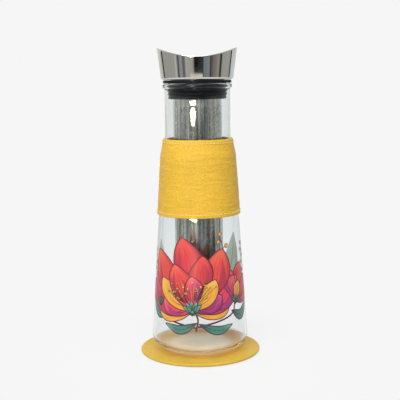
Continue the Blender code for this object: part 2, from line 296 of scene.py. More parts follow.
# %% Walls
# Degrees from the camera's side of the room, and the light that comes from there
low_bands = [
    (-130, "#d9d9d6"), (-128, "#2a2a2a"), (-122, "#2a2a2a"), (-120, "#b4b3ac"), (-72, "#b4b3ac"),
    (-67, "#dcdcd8"), (-62, "#8b8a88"), (-58.5, "#3a3a3c"), (-54, "#a7a9af"), (-47, "#a4a6ae"),
    (-43, "#62626a"), (-39, "#7c7b7e"), (-33, "#c2c1bb"), (-14, "#b4b1a6"), (-10, "#918e86"),
    (-8, "#1c1b1a"), (4, "#201f1f"), (6, "#34363d"), (18, "#3c3f48"), (21, "#818b90"),
    (38, "#909899"), (41, "#3a393a"), (47, "#78706c"), (70, "#a8a199"), (74, "#4a4542"),
    (79, "#4a4542"), (82, "#b0b4ad"), (116, "#b6b7b0"), (118, "#2a2a2a"), (123, "#2a2a2a"),
    (125, "#dde2e3"),
]
high_bands = [
    (-180, "#eeeeec"), (-125, "#e0e0dc"), (-100, "#bdbdb8"), (-60, "#a6a6a1"), (-40, "#949591"),
    (-18, "#4c4d51"), (-4, "#1f2022"), (20, "#26282b"), (36, "#6c6f71"), (60, "#979894"),
    (84, "#acaea9"), (110, "#c0c3bf"), (130, "#ced0cd"), (180, "#eeeeec"),
]
turn_share = add("MapRange", [turn, -180.0, 180.0])
low_wall, high_wall = (
    add("ValToRGB", [turn_share], [((angle + 180) / 360, colour) for angle, colour in bands])
    for bands in (low_bands, high_bands))

# The bands change tone at eye level, which a wall further off has nearer the horizon
half_turn = add("Math", [turn, math.radians(0.5)], operation="MULTIPLY")
facing = add("Math", [half_turn], operation="COSINE")
facing = add("Math", [facing, least_facing], operation="MAXIMUM")
wall_level = add("Math", [rise, facing], operation="DIVIDE")
eye_level = add("MapRange", [wall_level, level_low, level_high])
walls = add("Mix", [eye_level, low_wall, high_wall], data_type="RGBA")

# Furniture and stands make fine upright streaks of their own
clutter = add("TexNoise", [turn, 0.30, 3.0], noise_dimensions="1D")
clutter_tone = add("MapRange", [clutter, 0.3, 0.7, 0.84, 1.12])
room = add("VectorMath", [walls, clutter_tone], operation="SCALE")

# Far up comes the ceiling's soft light, and far down the pale table
for start, end, colour in ((8.0, 20.0, "#f4f4f4"), (-19.0, -24.0, "#e6e4e0")):
    share = add("MapRange", [rise, start, end])
    room = add("Mix", [share, room, colour], data_type="RGBA")

# %% [markdown]
# The white marks on the neck and under the sleeve are reflections of one low, wide lamp to the left
# of the camera. It is a bright bar with a fainter point hanging below it. A second, dimmer card
# lies in front of the camera, and shows as the pale block at the foot of the pouring head. Both
# are drawn here as patches of the room. The lamp is so small and bright that the satin steel deep
# inside would catch it only now and then, as grains, so it is dimmed there.

# %% Lamp in the reflected room
lamp_turn, lamp_half = -16.5, 10.5
bar_top, bar_bottom, point_top, point_bottom, shoulder_drop = -1.34, -1.66, -1.80, -3.05, -0.35
bar_glow, point_glow, lamp_colour = 56.0, 27.0, (1.0, 0.96, 0.62)
most_faces, deep_share = 2.5, 0.08

aside = add("Math", [turn, lamp_turn], operation="SUBTRACT")
aside = add("Math", [aside], operation="ABSOLUTE")
in_width = add("Math", [aside, lamp_half], operation="LESS_THAN")
in_bar = add("Math", [rise, (bar_top + bar_bottom) / 2, (bar_top - bar_bottom) / 2],
             operation="COMPARE")
bulge = add("Math", [aside, lamp_half], operation="DIVIDE")
bulge = add("Math", [bulge, 3.0], operation="POWER")
point_edge = add("Math", [bulge, point_top + shoulder_drop - point_bottom, point_bottom],
                 operation="MULTIPLY_ADD")
shoulder = add("Math", [bulge, shoulder_drop, point_top], operation="MULTIPLY_ADD")
above_edge = add("Math", [rise, point_edge], operation="GREATER_THAN")
below_shoulder = add("Math", [rise, shoulder], operation="LESS_THAN")
in_point = add("Math", [above_edge, below_shoulder], operation="MULTIPLY")
glow = add("Math", [in_point, point_glow], operation="MULTIPLY")
glow = add("Math", [in_bar, bar_glow, glow], operation="MULTIPLY_ADD")
glow = add("Math", [glow, in_width], operation="MULTIPLY")

path = add("LightPath").outputs
near = add("Math", [path["Transmission Depth"], most_faces], operation="LESS_THAN")
dimmed = add("Math", [near, 1 - deep_share, deep_share], operation="MULTIPLY_ADD")
glow = add("Math", [glow, dimmed], operation="MULTIPLY")
lamp_light = add("VectorMath", [lamp_colour, glow], operation="SCALE")

# %% Card in the reflected room
card_top, card_turn, card_half = -14.19, -2.5, 20.0
below_top = add("Math", [wall_level, card_top], operation="LESS_THAN")
in_card = add("Math", [turn, card_turn, card_half], operation="COMPARE")
in_card = add("Math", [below_top, in_card], operation="MULTIPLY")
room = add("Mix", [in_card, room, "#ebe7dd"], data_type="RGBA")
room = add("Mix", [1.0, room, lamp_light], data_type="RGBA", blend_type="ADD")

# %% [markdown]
# Which of the three pictures a ray sees depends on how it got here. A ray that was reflected at
# least once sees the room, one that only passed through glass sees the pale background, and a ray
# that left a matt surface is even white light.

# %% Choose by kind of ray
even_light = [room_light] * 3 + [1.0]
straight = add("Math", [path["Is Camera Ray"], path["Is Transmission Ray"]], operation="MAXIMUM")
reflected, scattered = (add("Math", [path[depth], 0.5], operation="GREATER_THAN")
                        for depth in ("Glossy Depth", "Diffuse Depth"))
picture = even_light
for choice, colour in ((straight, pale), (reflected, room), (scattered, even_light)):
    picture = add("Mix", [choice, picture, colour], data_type="RGBA")
background = add("Background", [picture])
add("OutputWorld", [background])
print("world: even light", room_light, "and", len(low_bands) + len(high_bands), "bands")

# %% [markdown]
# ## Lamps and floor
# A large softbox high on the left gives the leather its shape, and a nearer one above the front
# lights the upper hem more than the lower one. The floor is a pale disc that mostly glows in the
# background's own colour, so it has no visible edge, and keeps a little of the carafe's shadow. It
# glows less towards matt surfaces, so that it does not light them from below.

# %% Lamps
for name, place, aim_height, size, power in (
    ("softbox_left", (-0.50, -1.10, 0.90), 0.15, 0.7, 9.0),
    ("softbox_top", (0.0, -0.48, 0.86), 0.18, 0.6, 3.2),
):
    lamp = bpy.data.lights.new(name, "AREA")
    lamp.shape, lamp.size, lamp.energy = "SQUARE", size, power
    holder = put_in_scene(name, lamp)
    holder.location = place
    away = Vector(place) - Vector((0, 0, aim_height))
    holder.rotation_mode = "QUATERNION"
    holder.rotation_quaternion = away.to_track_quat("Z", "Y")
    print("lamp", name, "at", place, power, "W")

# %% Floor
floor_radius, floor_depth = 0.40, 0.3 * mm
shadow_near, shadow_far, under_glow, upward_glow = 0.06, 0.20, 0.86, 0.45
disc = spin([(0, -floor_depth), (floor_radius, -floor_depth)], 96)
pale_floor = put_in_scene("pale_floor", skin("pale_floor", disc, loop=False))

floor_finish, add, shader = start_finish("pale_paper_floor", pale, 0.9, Specular_IOR_Level=0.0)
diffuse_depth = add("LightPath").outputs["Diffuse Depth"]
upward = add("MapRange", [diffuse_depth, 0, 1, 1.0, upward_glow])
glow = add("Emission", [pale, upward])
floor_finish.cycles.emission_sampling = "NONE"
spot = add("TexCoord").outputs["Object"]
reach = add("VectorMath", [spot], operation="LENGTH")
shadow = add("MapRange", [reach, shadow_near, shadow_far, under_glow, 1.0],
             interpolation_type="SMOOTHSTEP")
mixed = add("MixShader", [shadow, shader, glow])
plug(floor_finish.node_tree.nodes["Material Output"], {"Surface": mixed})
pale_floor.data.materials.append(floor_finish)

# %% [markdown]
# ## Yellow leather
# Sleeve and coaster are dyed, embossed leather with a soft pebbled grain and a thin clear finish.
# The pebbles are large enough to catch light, so they are pressed into the mesh further down. The
# material adds what is finer: small pores, creases painted a deeper colour as painted shade, and a
# gloss that changes a little from pebble to pebble. On the coaster, painted shade also darkens it
# round the axis, where the glass stands. Voronoi cells are the natural choice for the fine grain, a
# packing of small rounded cells. Real ones are about 1 mm across, and are drawn twice as coarse to
# show here.

# %% Leather finish
# Where the painted shade of the glass foot is full and where it ends, from the axis
foot_shade_near, foot_shade_far = 34 * mm, 40 * mm


def leather(name, hex_colour, crease_shade_colour, pebble_mm, bump, glass_foot_shade=1.0):
    """Pebbled, dyed leather. It looks soft because its gloss is wide and broken up by the grain.

    The last argument paints shade on it: it darkens the leather round the axis, where a glass
    stands on it."""
    made, add, shader = start_finish(name, hex_colour, 0.5, IOR=1.48, Sheen_Weight=0.05,
                                     Sheen_Roughness=0.5, Specular_IOR_Level=0.36)
    place = add("TexCoord").outputs["Object"]
    wide = add("Mapping", {"Vector": place, "Scale": (0.8, 0.8, 1.7)})
    cells = add("TexVoronoi", [wide, 1 / (pebble_mm * mm)], feature="DISTANCE_TO_EDGE")
    crease = add("MapRange", [cells, 0, 0.16], interpolation_type="SMOOTHSTEP")
    cloud = add("TexNoise", [place, 0.045 / mm, 3.0])
    pores = add("TexNoise", [place, 1.6 / mm, 2.0])
    tone = add("MapRange", [cloud, 0.3, 0.7, 0.93, 1.05])
    # Painted shade of the glass foot: darker round the axis, where the glass stands
    painted_foot_shade = add("MapRange", [from_axis(add, place), foot_shade_near, foot_shade_far, glass_foot_shade],
                   interpolation_type="SMOOTHSTEP")
    tone = add("Math", [tone, painted_foot_shade], operation="MULTIPLY")
    # Painted shade: the creases are a deeper colour
    depth = add("ValToRGB", [crease], [(0.0, crease_shade_colour), (1.0, hex_colour)])
    coloured = add("VectorMath", [depth, tone], operation="SCALE")
    gloss = add("MapRange", [pores, 0.3, 0.7, 0.42, 0.60])
    grain = add("Bump", {"Height": crease, "Strength": bump, "Distance": 0.2 * mm})
    grain = add("Bump", {"Height": pores, "Strength": 0.25, "Distance": 0.06 * mm, "Normal": grain})
    plug(shader, {"Base Color": coloured, "Roughness": gloss, "Normal": grain})
    return made


sleeve_finish = leather("pebbled_dyed_leather", "#edc13b", "#dfac2f", 2.2, 0.6)
# The coaster gets the painted shade of the glass foot round its axis
coaster_finish = leather("smooth_dyed_leather", "#dfb93f", "#d4ab34", 2.0, 0.35, glass_foot_shade=0.92)

# %% Pebbled grain for a mesh


def pebbles(around, along, columns, rows, seed):
    """1 on top of a leather pebble and 0 in the crease between two. around closes on itself."""
    jitter = np.random.default_rng(seed).uniform(0.08, 0.92, (rows + 2, columns, 2))
    u, v = around * columns, along * rows
    nearest = np.full(u.shape, 9.0)
    second = nearest.copy()
    for du in (-1, 0, 1):
        for dv in (-1, 0, 1):
            i = np.floor(u).astype(int) + du
            j = np.clip(np.floor(v).astype(int) + dv, -1, rows)
            seat = jitter[j + 1, i % columns]
            away = np.hypot(u - i - seat[..., 0], v - j - seat[..., 1])
            second = np.minimum(second, np.maximum(nearest, away))
            nearest = np.minimum(nearest, away)
    return blend((second - nearest) / 0.42)


# %% [markdown]
# ## The coaster
# The coaster is a round of leather whose rim is turned under and glued round a suede backing. It
# lies flat, so its grain is pressed flatter than the sleeve's and only shows where the light
# grazes it. The rim is a half round, because leather that is folded over never has a sharp edge.

# %% Coaster
coaster_low, coaster_high, coaster_radius = size_of("coaster_leather")
coaster_hide, turn_in, rim_round = 1.2 * mm, 3.5 * mm, 1.35 * mm
press_depth, pressed_to, pebbles_across = 0.06 * mm, 0.4 * mm, 62
inner, recess = coaster_radius - turn_in, coaster_high - coaster_hide
rim_from = coaster_radius - rim_round
outline = [(r, coaster_high) for r in np.linspace(0, rim_from, 76)[:-1]]
outline += arc((rim_from, coaster_high - rim_round), rim_round, 90, 0)
outline += arc((rim_from, coaster_low + rim_round), rim_round, 0, -90)
outline += [(inner, coaster_low), (inner, recess), (0, recess)]
rows = spin(outline, 576)
across = rows[..., :2] / (2 * coaster_radius) + 0.5
crease = 1 - pebbles(across[..., 0], across[..., 1], pebbles_across, pebbles_across, 3)
is_top = rows[..., 2] > coaster_high - pressed_to
rows[..., 2] -= np.where(is_top, press_depth * crease, 0)
add_piece(skin("leather_coaster", rows, loop=False), coaster_finish, "coaster", "coaster_leather")
print("coaster", in_mm(2 * coaster_radius), "mm across")

# %% [markdown]
# The backing is brushed suede: short fibres stand up from it, which gives it no shine at all and a
# pale bloom at grazing angles. Sheen on the shader stands for those fibres.

# %% Coaster backing
suede = grained("brushed_suede", ("#9c7c3c", "#b08f4a", "#c09f59"), 0.95, 1.1, 4.0, (0.6, 0.2),
                Sheen_Weight=0.4, Sheen_Roughness=0.6)
backing_low, backing_high, backing_radius = size_of("coaster_backing")
edge = 0.3 * mm
outline = [(0, backing_high), (backing_radius, backing_high)]
outline += arc((backing_radius - edge, backing_low + edge), edge, 0, -90, 3) + [(0, backing_low)]
add_piece(skin("suede_coaster_backing", spin(outline), loop=False), suede, "coaster",
          "coaster_backing")

# %% [markdown]
# ## The glass body
# The carafe is blown borosilicate glass with a thin, even wall. Both faces of the wall are in the
# mesh, because light bends at each one: that makes the dark line along the sides and the bright
# rings in the foot. Borosilicate has next to no colour of its own, so the tint is all but white.
# In the thick foot light runs to and fro until it looks milky, and the rim picks up the leather's
# colour. Tracing all of that light would be slow and noisy, so it is painted instead: the foot
# is painted a partly milky colour that stands in for that light, its rim gets a painted reflection
# of the leather, and its floor a painted glow.

# %% Glass finish
# The second tint is the painted reflection of the leather in the foot's rim
clear_tint, painted_leather_reflection = "#f4f7f7", "#d69e26"
milky_below, clear_above, milky_alpha = 6 * mm, 14 * mm, 0.52
leather_reflection_from, leather_reflection_to, glow_from, glow_to, glow_most = 25 * mm, 41 * mm, 26 * mm, 43 * mm, 0.13
glass, add, shader = start_finish("blown_borosilicate_glass", clear_tint, 0.0, IOR=1.47,
                                  Transmission_Weight=1.0)
place = add("TexCoord").outputs["Object"]
height = add("SeparateXYZ", [place]).outputs["Z"]
off_axis = from_axis(add, place)
clear = add("MapRange", [height, milky_below, clear_above], interpolation_type="SMOOTHSTEP")
see_through = add("MapRange", [clear, 0, 1, milky_alpha])
cords = add("TexNoise", [place, 0.055 / mm, 2.0])
# Painted light: the foot's milky colour stands in for light that runs to and fro in it
painted_milky_light = add("ValToRGB", [cords], [(0.3, "#f2e6cb"), (0.7, "#fff8e8")])
# Painted reflection: towards the rim the foot takes the colour of the leather seen in it
leather_reflection_share = add("MapRange", [off_axis, leather_reflection_from, leather_reflection_to], interpolation_type="SMOOTHSTEP")
painted_milky_light = add("Mix", [leather_reflection_share, painted_milky_light, painted_leather_reflection], data_type="RGBA")
tint = add("Mix", [clear, painted_milky_light, clear_tint], data_type="RGBA")

# The floor of the foot has a painted glow, for the light that comes down inside the wall
painted_glow_share = add("MapRange", [off_axis, glow_from, glow_to, glow_most, 0.0])
in_foot = add("Math", [1.0, clear], operation="SUBTRACT")
painted_foot_glow = add("Math", [painted_glow_share, in_foot], operation="MULTIPLY")
plug(shader, {"Base Color": tint, "Transmission Weight": clear, "Alpha": see_through,
              "Emission Color": painted_milky_light, "Emission Strength": painted_foot_glow})

# %% [markdown]
# Blown glass is never quite flat, so a very shallow ripple bends its reflections. The straight
# reflections below the neck are painted weaker, to shape the lamp's highlights, less so round the
# sleeve, and the lip's are painted weaker too. A ramp over the height sets that painted strength,
# where 1 is the full reflection.

# %% Ripple and painted reflection strength
stretched = add("Mapping", {"Vector": place, "Scale": (1, 1, 0.35)})
waves = add("TexNoise", [stretched, 0.022 / mm, 1.0])
ripple = add("Bump", {"Height": waves, "Strength": 0.002, "Distance": 0.6 * mm})
reflection_ramp_top = 300
# Painted reflection: how strongly the glass reflects at each height in mm, 1 being full
reflection_strength_heights = [(0, 0.11), (132.8, 0.11), (134.2, 0.8), (180, 0.8), (198, 0.01), (217, 0.01),
                (222, 1.0), (250, 1.0), (252, 0.1), (258.5, 0.1), (259.5, 0.5)]
height_share = add("MapRange", [height, 0, reflection_ramp_top * mm])
painted_reflection_strength = add("ValToRGB", [height_share],
           [(level / reflection_ramp_top, [reflected_share] * 3 + [1.0]) for level, reflected_share in reflection_strength_heights])
plug(shader, {"Normal": ripple, "Specular Tint": painted_reflection_strength})

# %% Glass sizes
glass_low, glass_high, _ = size_of("glass_body")
foot_radius, foot_corner, cone_height = 46.9 * mm, 14.0 * mm, 188.0 * mm
shoulder_height, neck_radius, shoulder_step = 25.0 * mm, 31.4 * mm, 3.9 * mm
body_wall, neck_wall, glass_floor = 1.8 * mm, 1.5 * mm, 4.0 * mm
punt_radius, punt_depth = 30.0 * mm, 1.0 * mm
lip_bulge, lip_height, lip_fade, mouth_round = 2.0 * mm, 5.0 * mm, 3.4 * mm, 0.5 * mm
cone_top_radius, neck_bore = neck_radius + shoulder_step, neck_radius - neck_wall


def cone_radius(height):
    """The glass's straight side, at a height above its underside."""
    share = (height - foot_corner) / (cone_height - foot_corner)
    return foot_radius + (cone_top_radius - foot_radius) * share


def glass_radius(height):
    """The glass's outer radius from the foot's corner to the lip."""
    share = blend((height - cone_height) / shoulder_height)
    return cone_radius(height) * (1 - share) + neck_radius * share


def glass_bore(height):
    """The glass's inner radius."""
    share = blend((height - cone_height) / shoulder_height)
    return glass_radius(height) - body_wall * (1 - share) - neck_wall * share


# %% Glass body
top, shoulder_top = glass_high - glass_low, cone_height + shoulder_height
wall_heights = [*np.linspace(foot_corner, cone_height, 24)[1:],
                *np.linspace(cone_height, shoulder_top, 22)[1:],
                *np.linspace(shoulder_top, top - lip_height, 18)[1:-1]]
corner, lip_middle = foot_radius - foot_corner, top - lip_height / 2
outline = [(r, glass_floor) for r in np.linspace(0, corner, 8)[:-1]]
outline += arc((corner, foot_corner), (foot_corner - body_wall, foot_corner - glass_floor), -90, 0,
               20)
outline += [(glass_bore(h), h) for h in wall_heights]
outline += arc((neck_bore + mouth_round, top - mouth_round), mouth_round, 180, 90, 4)
outline += arc((neck_radius, lip_middle), (lip_bulge, lip_height / 2), 90, 0, 8)
outline += [(neck_radius + lip_bulge * (1 - blend(share)), lip_middle - share * lip_fade)
            for share in np.linspace(0, 1, 12)[1:]]
outline += [(glass_radius(h), h) for h in wall_heights[::-1]]
outline += arc((corner, foot_corner), foot_corner, 0, -90, 20)
outline += [(r, punt_depth * (1 - (r / punt_radius) ** 2))
            for r in np.linspace(punt_radius, 0, 10)]
outline = [(r, h + glass_low) for r, h in outline]
carafe_glass = add_piece(skin("blown_glass_body", spin(outline), loop=False), glass, "carafe",
                         "glass_body")
# Shadows of clear glass are pale, so it is left out of them, and the shade under its foot is
# painted on the coaster instead
carafe_glass.visible_shadow = False
print("glass", in_mm(top), "mm tall, mouth", in_mm(2 * neck_bore), "mm")

# %% [markdown]
# ## The leather sleeve
# The sleeve keeps hands off the hot glass. It is one strip of leather, hemmed at both edges round a
# thin lining and joined at the back. Three things shape its surface: the pebbled grain, the hem
# that swells between its stitches and the edge, and the row of stitches that pulls the leather in.
# All three are moves of the outer skin of a turned grid, so they are real shapes and not only
# shading.

# %% Sleeve sizes
sleeve_low, sleeve_high, _ = size_of("sleeve_leather")
sleeve_height, sleeve_place = sleeve_high - sleeve_low, sleeve_low - glass_low
seat_gap, lining_thickness, sleeve_hide = 0.3 * mm, 0.3 * mm, 0.9 * mm
lean_share, hem_width, stitch_inset = 0.85, 5.0 * mm, 3.2 * mm
lining_gap, hem_top = lining_thickness + seat_gap, sleeve_height - hem_width


def lining_radius(height):
    """The sleeve's inmost face, at a height above its lower edge."""
    cone = cone_radius(sleeve_place + height)
    return cone + seat_gap - lean_share * (cone - glass_radius(sleeve_place + height))


def sleeve_radius(height):
    """The sleeve's outer face before the grain."""
    return lining_radius(height) + lining_gap + sleeve_hide


# %% Sleeve outline
edge, columns = 0.85 * mm, 544
outline = arc((sleeve_radius(0) - edge, edge), edge, -90, 0)[:-1]
outline += [(sleeve_radius(h), h) for h in np.linspace(edge, sleeve_height - edge, 150)]
outline += arc((sleeve_radius(sleeve_height) - edge, sleeve_height - edge), edge, 0, 90)[1:]
outer_rows = len(outline)
outline += [(lining_radius(h), h) for h in (sleeve_height, hem_top)]
outline += [(lining_radius(h) + lining_gap, h) for h in np.linspace(hem_top, hem_width, 24)]
outline += [(lining_radius(h), h) for h in (hem_width, 0)]
rows = spin([(r, h + sleeve_low) for r, h in outline], columns)

# %% Press in the grain, hems and stitches


def waviness(columns, rows, seed):
    """Smooth noise from -1 to 1 over the sleeve's outer skin, which closes round its columns."""
    values = np.random.default_rng(seed).uniform(-1, 1, (rows + 1, columns))
    down, round_ = h_share * (rows - 1e-6), around * columns
    i, j = down.astype(int), round_.astype(int)
    s, t = blend(down - i), blend(round_ - j)
    top = values[i, j] * (1 - t) + values[i, (j + 1) % columns] * t
    low = values[i + 1, j] * (1 - t) + values[i + 1, (j + 1) % columns] * t
    return top * (1 - s) + low * s


grain_depth, hem_step, stitch_dip, stitch_reach = 0.25 * mm, 0.22 * mm, 0.30 * mm, 0.75 * mm
sway, crumple, seam_dip, seam_reach = 0.10 * mm, 0.19 * mm, 0.45 * mm, 0.45 * mm
hem_ease, pebbles_around, pebbles_up = 1.6 * mm, 60, 56
h = np.array([point[1] for point in outline[:outer_rows]])[:, None]
h_share = np.linspace(0, 1, outer_rows)[:, None]
around = (np.arange(columns) / columns)[None, :]
from_edge = np.minimum(h, sleeve_height - h)
hem = np.clip((from_edge - stitch_inset) / hem_ease, 0, 1)
from_seam = (around - 0.5) * 2 * np.pi * sleeve_radius(sleeve_height / 2)
grain = 1 - pebbles(around + 0 * h, h / sleeve_height + 0 * around, pebbles_around, pebbles_up, 7)
sunk = grain * grain_depth * (0.45 + 0.55 * hem) + hem_step * blend(hem)
sunk = sunk + stitch_dip * np.exp(-(((from_edge - stitch_inset) / stitch_reach) ** 2))
sunk = sunk + sway * waviness(14, 6, 5) + crumple * waviness(22, 38, 9) * hem
sunk = sunk + seam_dip * np.exp(-((from_seam / seam_reach) ** 2))
radius = np.hypot(rows[:outer_rows, :, 0], rows[:outer_rows, :, 1])
rows[:outer_rows, :, :2] *= (1 - np.maximum(sunk, 0) / radius)[..., None]
add_piece(skin("pebbled_leather_sleeve", rows), sleeve_finish, "sleeve", "sleeve_leather")
print("sleeve", in_mm(sleeve_height), "mm tall")

# %% [markdown]
# Inside the hems lies a thin microfibre lining that keeps the leather from sliding on the glass.
# From outside only its colour shows through the clear wall: a warm, matt brown.

# %% Sleeve lining
microfibre = grained("woven_microfibre", ("#b28d45", "#c9a45a", "#d6b46c"), 0.9, 1.5, 3.0,
                     (0.5, 0.15), Sheen_Weight=0.3)
inside = np.linspace(hem_width + seat_gap, hem_top - seat_gap, 24)
outline = [(lining_radius(h) + lining_thickness, h + sleeve_low) for h in inside[::-1]]
outline += [(lining_radius(h), h + sleeve_low) for h in inside]
add_piece(skin("microfibre_sleeve_lining", spin(outline)), microfibre, "sleeve", "sleeve_lining")

# %% [markdown]
# ## Stitches
# Each stitch is a short length of waxed thread that comes up through one hole and goes down the
# next. The thread is three plies twisted together, so its section is a three-lobed shape that turns
# as it runs. Every stitch is its own small tube whose ends dip into the leather.

# %% Thread
thread = grained("waxed_polyester_thread", ("#eccb66", "#fbdc80", "#ffe596"), 0.45, 2.5, 2.0,
                 Sheen_Weight=0.1)


def twisted_tube(points, radius, twist_per_mm=2.4, lobe=0.10, sides=9):
    """Rows of points of a three-ply thread along a path, closed at both ends."""
    along = np.gradient(points, axis=0)
    along /= np.linalg.norm(along, axis=1)[:, None]
    out = points * (1, 1, 0)
    side = np.cross(along, out / np.linalg.norm(out, axis=1)[:, None])
    side /= np.linalg.norm(side, axis=1)[:, None]
    up = np.cross(side, along)
    walked = np.concatenate([[0], np.cumsum(np.linalg.norm(np.diff(points, axis=0), axis=1))])
    turn = np.arange(sides) * 2 * np.pi / sides
    swell = radius * (1 + lobe * np.cos(3 * turn - twist_per_mm * walked[:, None] / mm))[..., None]
    ring = np.cos(turn)[:, None] * up[:, None] + np.sin(turn)[:, None] * side[:, None]
    ends = np.repeat(points[[0, -1], None], sides, 1)
    return np.concatenate([ends[:1], points[:, None] + swell * ring, ends[1:]])


# %% Stitched lines
thread_radius, stitch_pitch, stitch_length = 0.42 * mm, 3.5 * mm, 1.9 * mm
stitch_lift, end_dip, slant = 0.30 * mm, 0.12 * mm, 0.13 * mm
share = np.linspace(-1, 1, 9)
lift = stitch_lift * (1 - np.abs(share) ** 4) - end_dip * np.abs(share) ** 6
for name, node, height in (("stitches_bottom", "stitch_line_bottom", stitch_inset),
                           ("stitches_top", "stitch_line_top", sleeve_height - stitch_inset)):
    radius = sleeve_radius(height) - stitch_lift
    count = round(2 * np.pi * radius / stitch_pitch)
    reach, level = radius + lift, sleeve_low + height + slant * share
    tubes = []
    for i in range(count):
        angle = 2 * np.pi * (i + 0.5) / count + share * stitch_length / 2 / radius
        line = np.stack([reach * np.sin(angle), -reach * np.cos(angle), level], 1)
        tubes.append(twisted_tube(line, thread_radius))
    add_piece(skin(name, *tubes, loop=False, sharp=60), thread, "sleeve", node)
    print(name, count, "stitches")

# %% [markdown]
# At the back the two ends of the strip meet edge to edge, and a thread laced from side to side
# draws them together. The lacing runs over the seam in a zigzag and dips into a hole at each turn.

# %% Seam lacing
lacing_low, lacing_width, lacing_pitch = stitch_inset + 1.6 * mm, 3.2 * mm, 5.6 * mm
lacing_radius, lacing_lift, lacing_dip = 0.30 * mm, 0.28 * mm, 0.42 * mm
lacing_span = sleeve_height - 2 * lacing_low
turns = 2 * round(lacing_span / lacing_pitch)
t = np.linspace(0, turns, turns * 8 + 1)
swing = -np.cos(np.pi * t)
swing = np.sign(swing) * np.abs(swing) ** 0.8
height = lacing_low + lacing_span * t / turns
reach = sleeve_radius(height) + seat_gap + lacing_lift - lacing_dip * np.abs(swing) ** 6
across = lacing_width / 2 * swing
line = np.stack([-across, np.sqrt(reach**2 - across**2), height + sleeve_low], 1)
lacing = skin("laced_back_seam", twisted_tube(line, lacing_radius), loop=False, sharp=60)
add_piece(lacing, thread, "sleeve", "seam_lacing")
print("lacing", turns, "runs")

# %% [markdown]
# ## The silicone seal
# A moulded silicone ring closes the mouth: a flange rests on the lip, and four soft fins press on
# the inside of the neck. Silicone is matt and a little milky where light grazes it, and it picks up
# fine dust, so its roughness is high and uneven.

# %% Silicone
silicone = grained("moulded_black_silicone", ("#0c0d0f", "#0e0f11", "#17181b"), 0.5, 0.26, 4.0,
                   gloss=(0.42, 0.6), tone_from=0.35, IOR=1.41, Sheen_Weight=0.03,
                   Specular_IOR_Level=0.18)

# %% Seal
seal_low, seal_high, flange_radius = size_of("lid_seal")
flange_low, edge = glass_high + seat_gap, 0.8 * mm
plug_radius, throat_radius = 27.6 * mm, 26.0 * mm
fin_drop, fin_thickness, fin_root, fin_taper, fin_count = 2.8 * mm, 2.4 * mm, 3.0 * mm, 0.5 * mm, 4
fin_spacing = (glass_high - seal_low - fin_thickness / 2 - fin_drop) / (fin_count - 1)
bead_place, bead_half, bead_height = glass_high - fin_drop - fin_spacing, 1.2 * mm, 0.9 * mm
bore, groove_half = throat_radius + seat_gap, bead_half + seat_gap
under_flange, root_ease, root_edge = 0.5 * mm, 0.25 * mm, 0.3 * mm
outline = arc((flange_radius - edge, seal_high - edge), edge, 90, 0)
outline += arc((flange_radius - edge, flange_low + edge), edge, 0, -90)
outline += arc((plug_radius + under_flange, flange_low - under_flange), under_flange, 90, 180, 3)
for i in range(fin_count):
    fin_height = glass_high - fin_drop - fin_spacing * i
    tip = fin_thickness / 2
    root = [(plug_radius, fin_root / 2 + root_edge), (plug_radius + root_ease, fin_root / 2)]
    outline += [(r, fin_height + z) for r, z in root]
    outline += arc((neck_bore - seat_gap - fin_taper * i - tip, fin_height), tip, 80, -80, 6)
    if i < fin_count - 1:
        outline += [(r, fin_height - z) for r, z in root[::-1]]
outline += [(bore + root_edge, seal_low), (bore, seal_low + root_edge),
            (bore, bead_place - groove_half), (bore + bead_height, bead_place),
            (bore, bead_place + groove_half), (bore, seal_high)]
add_piece(skin("finned_silicone_seal", spin(outline)), silicone, "lid", "lid_seal")
print("seal", fin_count, "fins,", in_mm(2 * flange_radius), "mm across")

# %% [markdown]
# ## Polished steel
# The pouring head is stainless steel, spun to shape on a lathe and then buffed. Steel is a metal,
# so nearly all that we see is its reflection, tinted a warm grey. Buffing leaves hairlines that run
# round the axis. They are far finer than a pixel, so they are drawn about half a millimetre apart
# and very shallow, just enough to soften the edges of the reflections.

# %% Steel finishes


def turned_steel(name, hex_colour, roughness, line_mm, depth_mm):
    """Stainless steel with turning lines round the vertical axis."""
    made, add, shader = start_finish(name, hex_colour, roughness, Metallic=1.0)
    place = add("TexCoord").outputs["Object"]
    height = add("SeparateXYZ", [place]).outputs["Z"]
    level = add("Math", [height, 1 / (line_mm * mm)], operation="MULTIPLY")
    lines = add("TexNoise", [level, 1.0, 2.0], noise_dimensions="1D")
    haze = add("TexNoise", [place, 0.06 / mm, 3.0])
    gloss = add("MapRange", [haze, 0.3, 0.7, roughness * 0.7, roughness * 1.3])
    relief = add("Bump", {"Height": lines, "Strength": 0.2, "Distance": depth_mm * mm})
    plug(shader, {"Roughness": gloss, "Normal": relief})
    return made


polished_steel = turned_steel("spun_polished_stainless_steel", "#d3d2cf", 0.03, 0.5, 0.0003)
satin_steel = turned_steel("turned_satin_stainless_steel", "#c6c5c1", 0.16, 0.35, 0.010)

# %% [markdown]
# ## The pouring head
# A straight flared bowl is spun first, and its rim is then trimmed so that it dips at the front and
# the back and rises to a pouring peak on either side. The mesh does the same: the wall's rows are
# squeezed between the corner and a rim that drops with the square of the sine round the axis, so
# the wall keeps its flare and the rim is still a neat half round.

# %% Pouring head
head_low, head_high, _ = size_of("pouring_head")
head_wall, head_corner, head_height = 1.0 * mm, 3.0 * mm, 30.4 * mm
head_rise, head_flare, corner_rise = 8.9 * mm, 3.5 * mm, 0.6 * mm
foot_edge, wall_low = flange_radius - 0.9 * mm, head_low + head_corner
slope = head_flare / (head_height - head_corner)


def flare(height):
    """The outer radius of the straight wall."""
    return foot_edge + head_corner + slope * (height - wall_low)


